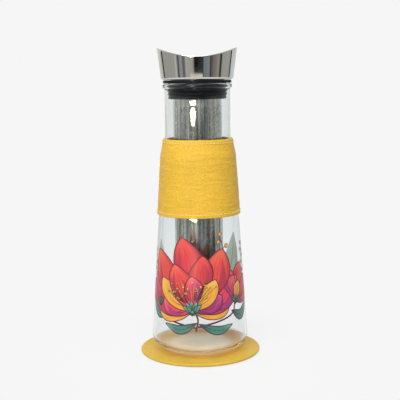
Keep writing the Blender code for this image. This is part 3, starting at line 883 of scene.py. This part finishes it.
rim_centre = head_high - head_wall / 2
wall_rows = np.linspace(wall_low, rim_centre, 26)
meets_wall = 2 * math.degrees(math.atan(slope))
outline = [(bore, head_low), (foot_edge, head_low)]
outline += arc((foot_edge, wall_low), head_corner, -90, -meets_wall, 12)[1:]
outline += [(flare(z), z) for z in (wall_low - corner_rise, *wall_rows)]
outline += arc((flare(rim_centre) - head_wall / 2, rim_centre), head_wall / 2, 0, 180, 8)[1:-1]
outline += [(flare(z) - head_wall, z) for z in wall_rows[::-1]]
outline += arc((foot_edge, wall_low), head_corner - head_wall, 0, -90, 10)[1:]
outline += [(bore, head_low + head_wall)]
rows = spin(outline, 256)
radius = np.hypot(rows[..., 0], rows[..., 1])
share = np.clip((rows[..., 2] - wall_low) / (rim_centre - wall_low), 0, 1)
drop = head_rise * (rows[..., 1] / radius) ** 2 * share
rows[..., 2] -= drop
rows[..., :2] *= (1 - slope * drop / radius)[..., None]
add_piece(skin("saddle_pouring_head", rows), polished_steel, "lid", "pouring_head")
print("head rises", in_mm(head_rise), "mm from its dip to its peaks")

# %% [markdown]
# The throat is a turned tube that comes up through the seal and clamps the head with its flange. It
# is out of sight from the front, so it shows the plainer satin of a part left as it was turned.

# %% Throat
throat_low, throat_high, rim = size_of("lid_throat")
throat_bore, underside, edge = 24.2 * mm, throat_high - 1.0 * mm, 0.3 * mm
outline = arc((rim - edge, throat_high - edge), edge, 90, 0, 3)
outline += [(rim, underside), (throat_radius, underside), (throat_radius, bead_place + bead_half),
            (throat_radius + bead_height, bead_place), (throat_radius, bead_place - bead_half),
            (throat_radius, throat_low), (throat_bore, throat_low)]
outline += arc((throat_bore + edge, throat_high - edge), edge, 180, 90, 3)
add_piece(skin("turned_steel_throat", spin(outline)), satin_steel, "lid", "lid_throat")

# %% [markdown]
# ## The tilting flap
# A moulded ring sits in the throat and carries a cross pin. The plate tilts on the pin as the
# carafe is tipped, and the weight under it brings it level again. The holes are cut with Boolean
# modifiers, which are the plain way to drill one turned shape with another.

# %% Rods and cuts
pin_low, pin_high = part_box("flap_pin")
pin_centre, pin_radius = (pin_low.z + pin_high.z) / 2, (pin_high.z - pin_low.z) / 2


def cross_rod(name, radius, length, edge=0.0):
    """A round rod along Y through the pin's centre."""
    half = length / 2
    outline = [(0, half)] + arc((radius - edge, half - edge), edge, 90, 0, 3)
    outline += arc((radius - edge, -half + edge), edge, 0, -90, 3) + [(0, -half)]
    x, y, z = np.moveaxis(spin(outline, 40), 2, 0)
    return skin(name, np.stack([x, z, y + pin_centre], 2), loop=False)


def combine(name, mesh, *steps):
    """Cut a mesh with others or join them to it, one (operation, mesh) step after another."""
    for operation, tool in steps:
        piece, cutter = put_in_scene("blank", mesh), put_in_scene("cutter", tool)
        boolean = piece.modifiers.new("boolean", "BOOLEAN")
        boolean.operation, boolean.solver, boolean.object = operation, "EXACT", cutter
        bpy.context.view_layer.update()
        graph = bpy.context.evaluated_depsgraph_get()
        mesh = tidy(bpy.data.meshes.new_from_object(piece.evaluated_get(graph)))
        for each in (piece, cutter):
            bpy.data.objects.remove(each)
    mesh.name = name
    return mesh


# %% [markdown]
# The ring is moulded ABS. Its tool was spark-eroded, which leaves a fine, even matt texture.

# %% Seat ring and pin
plastic = grained("moulded_black_plastic", ("#1f2022", "#232426", "#2a2b2e"), 0.5, 2.2, 2.0,
                  (0.2, 0.04), IOR=1.49)
seat_low, seat_high, seat_radius = size_of("flap_seat_ring")
flap_bore, lead = 20.0 * mm, 0.4 * mm
outline = [(seat_radius - lead, seat_high), (seat_radius, seat_high - lead),
           (seat_radius, seat_low), (flap_bore, seat_low),
           (flap_bore, seat_high - lead), (flap_bore + lead, seat_high)]
pin_hole = cross_rod("pin_hole", pin_radius + seat_gap, 2 * throat_radius)
seat_ring = combine("moulded_seat_ring", skin("seat_ring_blank", spin(outline, 128)),
                    ("DIFFERENCE", pin_hole))
add_piece(seat_ring, plastic, "lid", "flap_seat_ring")
add_piece(cross_rod("turned_cross_pin", pin_radius, pin_high.y - pin_low.y, 0.25 * mm),
          satin_steel, "lid", "flap_pin")

# %% Plate and weight
knuckle_low, plate_high, plate_radius = size_of("flap_plate")
knuckle_radius, knuckle_length = pin_centre - knuckle_low, 28.0 * mm
plate_low, edge = plate_high - 1.0 * mm, 0.3 * mm
outline = [(0, plate_high)] + arc((plate_radius - edge, plate_high - edge), edge, 90, 0, 3)
outline += [(plate_radius, plate_low), (0, plate_low)]
plate = combine("polished_flap_plate", skin("plate_blank", spin(outline, 128), loop=False),
                ("UNION", cross_rod("knuckle", knuckle_radius, knuckle_length)),
                ("DIFFERENCE", cross_rod("bore", pin_radius + seat_gap, knuckle_length + 2 * mm)))
add_piece(plate, polished_steel, "flap", "flap_plate")

weight_low, _, weight_radius = size_of("flap_weight")
weight_top, edge = pin_centre - pin_radius, 1 * mm
outline = [(0, weight_top), (weight_radius, weight_top)]
outline += arc((weight_radius - edge, weight_low + edge), edge, 0, -90) + [(0, weight_low)]
weight = combine("turned_flap_weight", skin("weight_blank", spin(outline, 64), loop=False),
                 ("DIFFERENCE", cross_rod("room", knuckle_radius + seat_gap, knuckle_length)))
add_piece(weight, satin_steel, "flap", "flap_weight")
print("flap", in_mm(2 * plate_radius), "mm across on a", in_mm(2 * pin_radius), "mm pin")

# %% [markdown]
# ## The infuser
# The infuser is a plain collar with a rubber ring, a long perforated tube and a pressed-in base.
# Its steel is drawn tube, duller than the head, with faint lines along its length.

# %% Drawn tube finish


def drawn_steel(name, dark, light, roughness, painted_speck_share):
    """Drawn tube: lines along its length, and dark specks, which on the pierced tube are painted
    shade for the dark seen through its holes.
    """
    made, add, shader = start_finish(name, light, roughness, Metallic=1.0)
    place = add("TexCoord").outputs["Object"]
    lengthwise = add("Mapping", {"Vector": place, "Scale": (1, 1, 0.03)})
    lines = add("TexNoise", [lengthwise, 0.42 / mm, 3.0])
    # Painted shade: dark specks that stand for the dark seen through fine holes
    painted_specks = add("TexNoise", [place, 0.52 / mm, 2.0])
    shade = add("Math", [painted_specks, painted_speck_share, lines], operation="MULTIPLY_ADD")
    middle = 0.5 + painted_speck_share / 2
    tone = add("ValToRGB", [shade], [(middle - 0.17, dark), (middle + 0.15, light)])
    gloss = add("MapRange", [lines, 0.3, 0.7, roughness * 0.8, roughness * 1.2])
    relief = add("Bump", {"Height": shade, "Strength": 0.3, "Distance": 0.04 * mm})
    plug(shader, {"Base Color": tone, "Roughness": gloss, "Normal": relief})
    return made


collar_steel = drawn_steel("drawn_stainless_collar", "#cccbc6", "#f4f3ee", 0.24, 0.15)
pierced_steel = drawn_steel("pierced_stainless_tube", "#a3a29d", "#f8f7f2", 0.245, 0.6)

# %% Infuser collar
collar_low, collar_high, collar_radius = size_of("infuser_collar")
tube_low, tube_high, band_radius = size_of("infuser_tube")
collar_bore, socket_radius = collar_radius - 1.9 * mm, band_radius - 0.55 * mm
plug_low, socket_top, edge = collar_high - 9.2 * mm, tube_high + seat_gap, 0.25 * mm
groove_centre, groove_depth, groove_half = collar_high - 4.7 * mm, 0.9 * mm, 0.7 * mm
groove_floor, groove_top = collar_radius - groove_depth, groove_centre + groove_half
groove_bottom = groove_centre - groove_half
outline = arc((collar_radius - edge, collar_high - edge), edge, 90, 0, 3)
outline += [(collar_radius, groove_top), (groove_floor, groove_top),
            (groove_floor, groove_bottom), (collar_radius, groove_bottom)]
outline += arc((collar_radius - edge, plug_low + edge), edge, 0, -90, 3)
outline += [(band_radius, plug_low)]
outline += arc((band_radius - edge, collar_low + edge), edge, 0, -90, 3)
outline += [(socket_radius, collar_low), (socket_radius, socket_top), (collar_bore, socket_top)]
outline += arc((collar_bore + edge, collar_high - edge), edge, 180, 90, 3)
add_piece(skin("turned_infuser_collar", spin(outline)), collar_steel, "infuser", "infuser_collar")

# %% [markdown]
# The ring in the collar's groove is moulded silicone, grey with a faint powdery bloom.

# %% Collar ring
ring_rubber = grained("moulded_grey_silicone", ("#333436", "#3a3b3d", "#454649"), 0.5, 0.7, 3.0,
                      IOR=1.41)
ring_low, ring_high, ring_reach = size_of("infuser_o_ring")
ring_radius = 0.35 * mm
ring_centre = (ring_reach - ring_radius, (ring_low + ring_high) / 2)
outline = arc(ring_centre, ring_radius, 0, 360, 12)[:-1]
add_piece(skin("moulded_collar_ring", spin(outline)), ring_rubber, "infuser", "infuser_o_ring")

# %% [markdown]
# The tube's wall is pierced by thousands of fine holes. Real ones are about 0.3 mm across. Drawn at
# that size they would vanish between pixels and make a very heavy mesh, so they are drawn coarser:
# 0.8 mm holes, 2.2 mm apart. The wall is laid out as a honeycomb, one cell for each hole, which
# gives a clean ring of six quads round every hole on both faces and six more through the wall.

# %% Perforated tube
hole_pitch, hole_radius, plain_end, tube_wall = 2.2 * mm, 0.40 * mm, 3.0 * mm, 0.6 * mm
tube_bore, shoulder_z = band_radius - tube_wall, collar_low - seat_gap
hole_columns = round(2 * np.pi * band_radius / hole_pitch)
cell, row_height = 2 * np.pi / hole_columns, hole_pitch * math.sqrt(3) / 2
pierced_high, pierced_low = shoulder_z - plain_end, tube_low + plain_end
hole_rows = int((pierced_high - pierced_low) / row_height)
cell_reach, hole_reach = cell / math.sqrt(3), hole_radius / band_radius
fine_steps, known, points, faces = 600, {}, [], []


def wall_point(angle, height, radius):
    """The number of a point on the tube's wall, made once and then shared."""
    step = round(angle / cell * fine_steps) % (hole_columns * fine_steps)
    key = (step, round(height * 1e7), round(radius * 1e6))
    if key not in known:
        known[key] = len(points)
        points.append((radius * math.sin(angle), -radius * math.cos(angle), height))
    return known[key]


for row in range(hole_rows):
    level = pierced_high - row_height * (row + 0.5)
    for column in range(hole_columns):
        middle = cell * (column + 0.5 * (row % 2))
        rings = []
        for radius in (band_radius, tube_bore):
            for wide, tall in ((cell_reach, row_height * 2 / 3), (hole_reach, hole_radius)):
                rings.append([wall_point(middle + wide * math.cos(t),
                                         level + tall * math.sin(t), radius)
                              for t in np.radians(np.arange(30, 390, 60))])
        cell_out, hole_out, cell_in, hole_in = rings
        for one, other in ((cell_out, hole_out), (cell_in, hole_in), (hole_out, hole_in)):
            faces += [(one[k - 1], one[k], other[k], other[k - 1]) for k in range(6)]

tube_mesh = bpy.data.meshes.new("perforated_infuser_tube")
tube_mesh.from_pydata(points, [], faces)
print("tube", hole_rows * hole_columns, "holes in", hole_rows, "rows of", hole_columns)

# %% [markdown]
# The honeycomb ends in a zigzag at the top and bottom. Its open edges are carried straight on as
# plain bands: down to the tube's end, and up to the drawn-in neck that slips into the collar.

# %% Plain ends of the tube
shape = bmesh.new()
shape.from_mesh(tube_mesh)


def open_loop(near_top, radius):
    """The open zigzag edge near one end, on the face of that radius, in order round the axis."""
    found = {v for e in shape.edges if e.is_boundary for v in e.verts
             if abs(math.hypot(v.co.x, v.co.y) - radius) < 0.05 * mm
             and (v.co.z > pierced_high - 2 * row_height) == near_top}
    return sorted(found, key=lambda v: math.atan2(v.co.x, -v.co.y) % (2 * math.pi))


def bridge(one, other):
    """Faces between two loops of the same number of points. It returns the second loop."""
    for k in range(len(one)):
        shape.faces.new((one[k - 1], one[k], other[k], other[k - 1]))
    return other


def carry(loop, *steps):
    """Extend a loop of points through (radius, height) steps and return the last loop."""
    for radius, height in steps:
        scale = [radius / math.hypot(v.co.x, v.co.y) for v in loop]
        new = [shape.verts.new((v.co.x * s, v.co.y * s, height)) for v, s in zip(loop, scale)]
        loop = bridge(loop, new)
    return loop


neck, inner_shoulder = socket_radius - seat_gap, shoulder_z - tube_wall
loops = {(top, radius): open_loop(top, radius) for top in (False, True)
         for radius in (band_radius, tube_bore)}
outer_low = carry(loops[False, band_radius], (band_radius, tube_low))
inner_low = carry(loops[False, tube_bore], (tube_bore, tube_low))
outer_top = carry(loops[True, band_radius], (band_radius, shoulder_z), (neck, shoulder_z),
                  (neck, tube_high))
inner_top = carry(loops[True, tube_bore], (tube_bore, inner_shoulder),
                  (neck - tube_wall, inner_shoulder), (neck - tube_wall, tube_high))
bridge(outer_low, inner_low)
bridge(outer_top, inner_top)
shape.to_mesh(tube_mesh)
shape.free()
add_piece(tidy(tube_mesh, 35, 1e-6), pierced_steel, "infuser", "infuser_tube")

# %% Infuser base
base_low, base_high, _ = size_of("infuser_base")
plug_radius, under_tube = tube_bore - seat_gap, tube_low - seat_gap
lip_edge, edge = 0.2 * mm, 1 * mm
cup_radius, cup_floor = plug_radius - tube_wall, base_low + tube_wall
outline = [(0, cup_floor), (cup_radius, cup_floor), (cup_radius, base_high),
           (plug_radius, base_high), (plug_radius, under_tube)]
outline += arc((band_radius - lip_edge, under_tube - lip_edge), lip_edge, 90, 0, 3)
outline += arc((band_radius - edge, base_low + edge), edge, 0, -90) + [(0, base_low)]
add_piece(skin("pressed_infuser_base", spin(outline), loop=False), collar_steel, "infuser",
          "infuser_base")

# %% [markdown]
# ## The printed decal
# The carafe is printed with enamel colours that are fired onto the glass. The design here is a
# generic folk one: fan-shaped blossoms, buds, berries and leaves. Each stroke is a thin skin that
# follows the glass a few hundredths of a millimetre off it. A stroke is a centre line with a width
# that swells and tapers, as a brush leaves it, so petals, leaves, stems and outlines all come from
# one function and a table.

# %% Enamel finish


def enamel(name, deep, body, light, rim):
    """Fired enamel: deeper at the base and rim of a stroke, lighter at its tip."""
    made, add, shader = start_finish(name + "_enamel", body, 0.32, IOR=1.5)
    stroke = add("TexCoord").outputs["UV"]
    apart = add("SeparateXYZ", [stroke]).outputs
    along, side = apart["X"], apart["Y"]
    scaled = add("Mapping", {"Vector": stroke, "Scale": (2.2, 15.0, 1)})
    hair = add("TexNoise", [scaled, 1.0, 2.0])
    shade = add("Math", [hair, 0.55, -0.275], operation="MULTIPLY_ADD")
    lean_in = add("Math", [side, 0.2, along], operation="MULTIPLY_ADD")
    place = add("Math", [lean_in, shade], operation="ADD")
    tone = add("ValToRGB", [place], [(0.10, deep), (0.42, body), (0.80, body), (1.0, light)])
    off_middle = add("Math", [side, 0.5], operation="SUBTRACT")
    off_middle = add("Math", [off_middle], operation="ABSOLUTE")
    ragged = add("Math", [shade, 0.35, off_middle], operation="MULTIPLY_ADD")
    edge_share = add("MapRange", [ragged, 0.27, 0.50, 0, rim], interpolation_type="SMOOTHSTEP")
    painted = add("Mix", [edge_share, tone, deep], data_type="RGBA")
    plug(shader, {"Base Color": painted})
    return made


# Deep, plain and light tone of each colour, and how much of the deep one lies along a stroke's rim
enamels = {name: enamel(name, *tones) for name, *tones in (
    ("coral", "#a8323f", "#e8504a", "#f26c55", 0.6), ("red", "#862a44", "#dc444a", "#ec5a52", 0.6),
    ("pink", "#a92f58", "#e54a5f", "#ee6c72", 0.6),
    ("magenta", "#6d2350", "#b03a78", "#d25688", 0.6),
    ("amber", "#d58a35", "#f0ac44", "#f6c25e", 0.4), ("sage", "#8a998f", "#a6b0a4", "#b6beb3", 0.3),
    ("teal", "#24504f", "#4b8d7c", "#7bb5a0", 0.6), ("wine", "#7d2748", "#bc3c4f", "#cf4a52", 0.0),
    ("plum", "#421a2a", "#54243a", "#5c2a40", 0.0), ("night", "#1e171c", "#2b2026", "#33262c", 0.0),
    ("yellow", "#e9b441", "#f6d468", "#fbe28c", 0.2),
)}

# %% Paths
enamel_names = list(enamels)
layer_step, stroke_lift = 0.018 * mm, 0.03 * mm
strokes = []
profiles = {
    "petal": lambda t: np.sin(np.pi * np.clip(t, 0, 1) ** 1.25) ** 0.75,
    "leaf": lambda t: np.sin(np.pi * t) ** 0.95,
    "drop": lambda t: np.sqrt(np.clip(1 - (2 * t - 1) ** 2, 0, 1)),
    "stem": np.ones_like,
    "flick": lambda t: 1 - 0.85 * t,
}


def smooth_path(knots, count):
    """Points along a smooth curve through knots (Catmull-Rom)."""
    knots = np.array(knots, float)
    padded = np.vstack([2 * knots[0] - knots[1], knots, 2 * knots[-1] - knots[-2]])
    t = np.linspace(0, len(knots) - 1 - 1e-9, count)
    i = t.astype(int)
    s = (t - i)[:, None]
    a, b, c, d = (padded[i + k] for k in range(4))
    return 0.5 * (2 * b + (c - a) * s + (2 * a - 5 * b + 4 * c - d) * s**2
                  + (3 * b - a - 3 * c + d) * s**3)


def normals_of(path):
    """Unit normals, to the left of a path."""
    along = np.gradient(path, axis=0)
    along /= np.linalg.norm(along, axis=1)[:, None] + 1e-12
    return np.stack([-along[:, 1], along[:, 0]], 1)


# %% Brush strokes on the glass


def ribbon(path, side, offsets, aside, colour, layer):
    """Lay a ribbon along a path of (along the glass, height) points in mm. offsets are distances
    along its normals, and aside says from -1 to 1 how far across the colour they lie."""
    grid = (path[:, None] + offsets[..., None] * side[:, None]) * mm
    along, height = grid[..., 0], grid[..., 1]
    surface = glass_radius(height - glass_low)
    reach = surface + stroke_lift + layer_step * layer
    angle = along / surface
    points = np.stack([reach * np.sin(angle), -reach * np.cos(angle), height], -1)
    share = np.linspace(0, 1, len(path))[:, None]
    uv = np.stack(np.broadcast_arrays(share, (aside[None] + 1) / 2), -1)
    strokes.append((points, uv.reshape(-1, 2), enamel_names.index(colour)))


def brush(knots, half_width, profile, colour, layer, outline=None, line=0.42):
    """One stroke, with a fine line round it where outline names a colour."""
    length = np.linalg.norm(np.diff(np.array(knots, float), axis=0), axis=1).sum()
    path = smooth_path(knots, max(14, int(length / 1.1)))
    share = np.linspace(0, 1, len(path))
    swell = (half_width * profiles[profile](share))[:, None]
    side = normals_of(path)
    if profile == "petal":
        sway = 0.09 * half_width * np.sin(np.pi * share) * np.sin(7.5 * share + 2.3 * layer)
        path = path + sway[:, None] * side
    across = np.linspace(-1, 1, max(3, int(2 * half_width / 1.3) + 2))
    ribbon(path, side, swell * across, across, colour, layer)
    if outline:
        span = np.linspace(-line, line, 3)
        for edge_path in (path - swell * side, path + swell * side):
            ribbon(edge_path, normals_of(edge_path), span[None], span, outline, layer + 0.5)


# %% Blossoms, leaves and berries
fold_tones = {"coral": "wine", "red": "wine", "pink": "magenta"}


def fan_blossom(base, tilt, size, petals, layer=6):
    """Petals fanned out from a base. petals rows are (angle, length, half width, bend, colour)."""
    base = np.array(base, float)
    for k, (angle, length, half_width, bend, colour) in enumerate(petals):
        turn = math.radians(angle + tilt)
        out = np.array([math.sin(turn), math.cos(turn)]) * size
        aside = np.array([out[1], -out[0]])
        tip, middle = base + out * length, base + out * length * 0.55 + aside * bend
        level = layer + k * 1.2
        brush([base, middle, tip], half_width * size, "petal", colour, level, "plum")
        fold = aside * half_width * (0.64 if angle > 0 else -0.64)
        brush([base + out * length * 0.22 + fold * 0.5, middle + fold,
               base + out * length * 0.88 + fold * 0.40], half_width * size * 0.24, "leaf",
              fold_tones.get(colour, colour), level + 0.2)
        start, end = base + out * 0.10, base + out * length * 0.80
        for spread in (-0.34, 0.0, 0.34):
            vein = aside * half_width * spread
            brush([start, (start + end) / 2 + aside * bend * 0.9 + vein,
                   end * 0.94 + start * 0.06 + vein * 0.5], 0.26, "flick", "plum", level + 0.5)


def leaf(knots, half_width, layer=2):
    """A teal leaf with its rib and side veins."""
    brush(knots, half_width, "leaf", "teal", layer, "plum")
    brush(knots, 0.38, "flick", "plum", layer + 0.8)
    path = smooth_path(knots, 9)
    sides = normals_of(path) * half_width
    for i in range(2, 7):
        root, onward = path[i - 1], path[i] - path[i - 1]
        for side in (-sides[i], sides[i]):
            brush([root, root + onward * 0.5 + side * 0.3, path[i] + side * 0.55], 0.2, "flick",
                  "plum", layer + 0.8)


def dot(u, v, size, colour, layer, line):
    """A round dot of enamel with a fine line round it."""
    outline = "plum" if line > 0.2 else "night"
    brush([(u - size, v), (u, v + 0.01), (u + size, v)], size, "drop", colour, layer, outline, line)


def berry_sprig(knots, size, layer=1):
    """A thin stem with berries on short stalks to both sides, and one at its tip."""
    brush(knots, 0.42, "stem", "plum", layer)
    path = smooth_path(knots, 7)
    sides = normals_of(path)
    for i in range(1, 7):
        stalk = 0.0 if i == 6 else size * 1.9 if i % 2 else -size * 1.9
        centre = path[i] + sides[i] * stalk + (0, size * 0.6)
        brush([path[i], (path[i] + centre) / 2 + (0, 0.2), centre], 0.3, "stem", "plum", layer)
        dot(*centre, size, "amber", layer + 1, 0.3)


# %% [markdown]
# The design is laid out on the unrolled glass, in millimetres: along the glass from the front, and
# up from the table. Far petals come first, near ones last, as a painter would work.

# %% Print stems, berries and leaves
for knots in ([(-6, 52), (-2, 42), (-4, 31)], [(38, 56), (32, 44), (-2, 35)],
              [(-44, 54), (-35, 42), (-3, 34)]):
    brush(knots, 0.85, "stem", "plum", 0)
for knots, width, rib in (
    ([(18, 66), (33, 90), (38, 122)], 10.5, [(19, 67), (33, 90), (38, 118)]),
    ([(-26, 68), (-42, 88), (-45, 116)], 8.0, [(-27, 69), (-42, 88), (-45, 112)]),
):
    brush(knots, width, "leaf", "sage", 0, "sage")
    brush(rib, 0.35, "stem", "teal", 1)
for knots, size in (([(24, 80), (25, 102), (20, 121)], 1.9), ([(48, 70), (56, 90), (56, 108)], 1.8),
                    ([(-52, 66), (-60, 84), (-60, 102)], 1.8)):
    berry_sprig(knots, size)
for knots, width in (
    ([(-3, 39), (-19, 32), (-37, 36)], 4.2), ([(-1, 38), (17, 31), (34, 35)], 4.0),
    ([(-34, 46), (-48, 45), (-62, 59)], 5.0), ([(33, 48), (48, 42), (62, 56)], 5.0),
):
    leaf(knots, width)

# %% Print the blossoms
main_base, right_base, left_base = (-7, 50), (38, 56), (-44, 54)
fan_blossom(main_base, -5, 64, [
    (-84, 0.62, 0.15, -0.05, "amber"), (86, 0.60, 0.15, 0.05, "amber"),
    (-60, 0.90, 0.22, -0.09, "red"), (62, 0.88, 0.22, 0.09, "pink"),
    (-3, 1.10, 0.23, 0.02, "red"), (-31, 1.08, 0.23, -0.06, "coral"),
    (32, 1.02, 0.23, 0.07, "coral"), (-70, 0.52, 0.14, -0.04, "pink"),
    (68, 0.50, 0.14, 0.04, "magenta"), (-44, 0.70, 0.15, -0.05, "amber"),
    (16, 0.84, 0.18, 0.04, "red"), (-17, 0.74, 0.18, -0.03, "coral"),
    (42, 0.58, 0.13, 0.05, "amber"), (4, 0.52, 0.14, 0.02, "pink"),
])
fan_blossom(right_base, 14, 36, [
    (-58, 0.72, 0.19, -0.06, "magenta"), (56, 0.75, 0.20, 0.06, "red"),
    (0, 1.05, 0.27, 0.00, "coral"), (-27, 0.90, 0.21, -0.05, "pink"),
    (29, 0.86, 0.20, 0.05, "red"), (2, 0.56, 0.15, 0.00, "amber"),
])
fan_blossom(left_base, -16, 30, [
    (-48, 0.74, 0.20, -0.04, "magenta"), (50, 0.70, 0.20, 0.04, "amber"),
    (-26, 0.92, 0.23, -0.04, "red"), (27, 0.90, 0.23, 0.04, "coral"), (0, 0.98, 0.22, 0, "pink"),
])

# %% Calyxes and stamens
for (u, v), size, tilt in ((main_base, 9, -5), (right_base, 5.5, 14), (left_base, 5, -16)):
    for angle in (-58, 58, -30, 30, 0):
        turn = math.radians(angle + tilt)
        tip = (u + size * 1.2 * math.sin(turn), v + size * 1.2 * math.cos(turn))
        start = (u - size * 0.4 * math.sin(turn), v - size * 0.5 * math.cos(turn))
        middle = ((start[0] + tip[0]) / 2, (start[1] + tip[1]) / 2)
        brush([start, middle, tip], size * 0.27, "leaf", "teal", 27 + angle % 7 / 7, "night", 0.3)
chance = np.random.default_rng(11)
for k in range(46):
    angle = math.radians(-5 + chance.uniform(-52, 52))
    far = chance.uniform(17, 33)
    u, v = main_base[0] + far * math.sin(angle), main_base[1] + far * math.cos(angle)
    root = (main_base[0] + 11 * math.sin(angle * 0.8), main_base[1] + 11 * math.cos(angle * 0.8))
    size = chance.uniform(0.55, 1.05)
    brush([root, ((root[0] + u) / 2, (root[1] + v) / 2 + 0.4), (u, v)], 0.17, "stem", "night", 24.5)
    dot(u, v, size, "yellow" if k % 3 else "amber", 25.5, 0.16)

# %% Make the decal
grids, uvs, paints = zip(*strokes)
decal = net("enamel_decal", grids, closed=False)
for finish in enamels.values():
    decal.materials.append(finish)
paint = np.repeat(paints, [(len(grid) - 1) * (len(grid[0]) - 1) for grid in grids])
decal.polygons.foreach_set("material_index", paint.astype(np.int32))
corners = np.zeros(len(decal.loops), np.int32)
decal.loops.foreach_get("vertex_index", corners)
layer_uv = decal.uv_layers.new(name="stroke")
layer_uv.data.foreach_set("uv", np.concatenate(uvs)[corners].astype(np.float32).ravel())
decal.shade_smooth()
add_piece(decal, None, "carafe")
print("print", len(strokes), "strokes in", len(enamels), "colours")
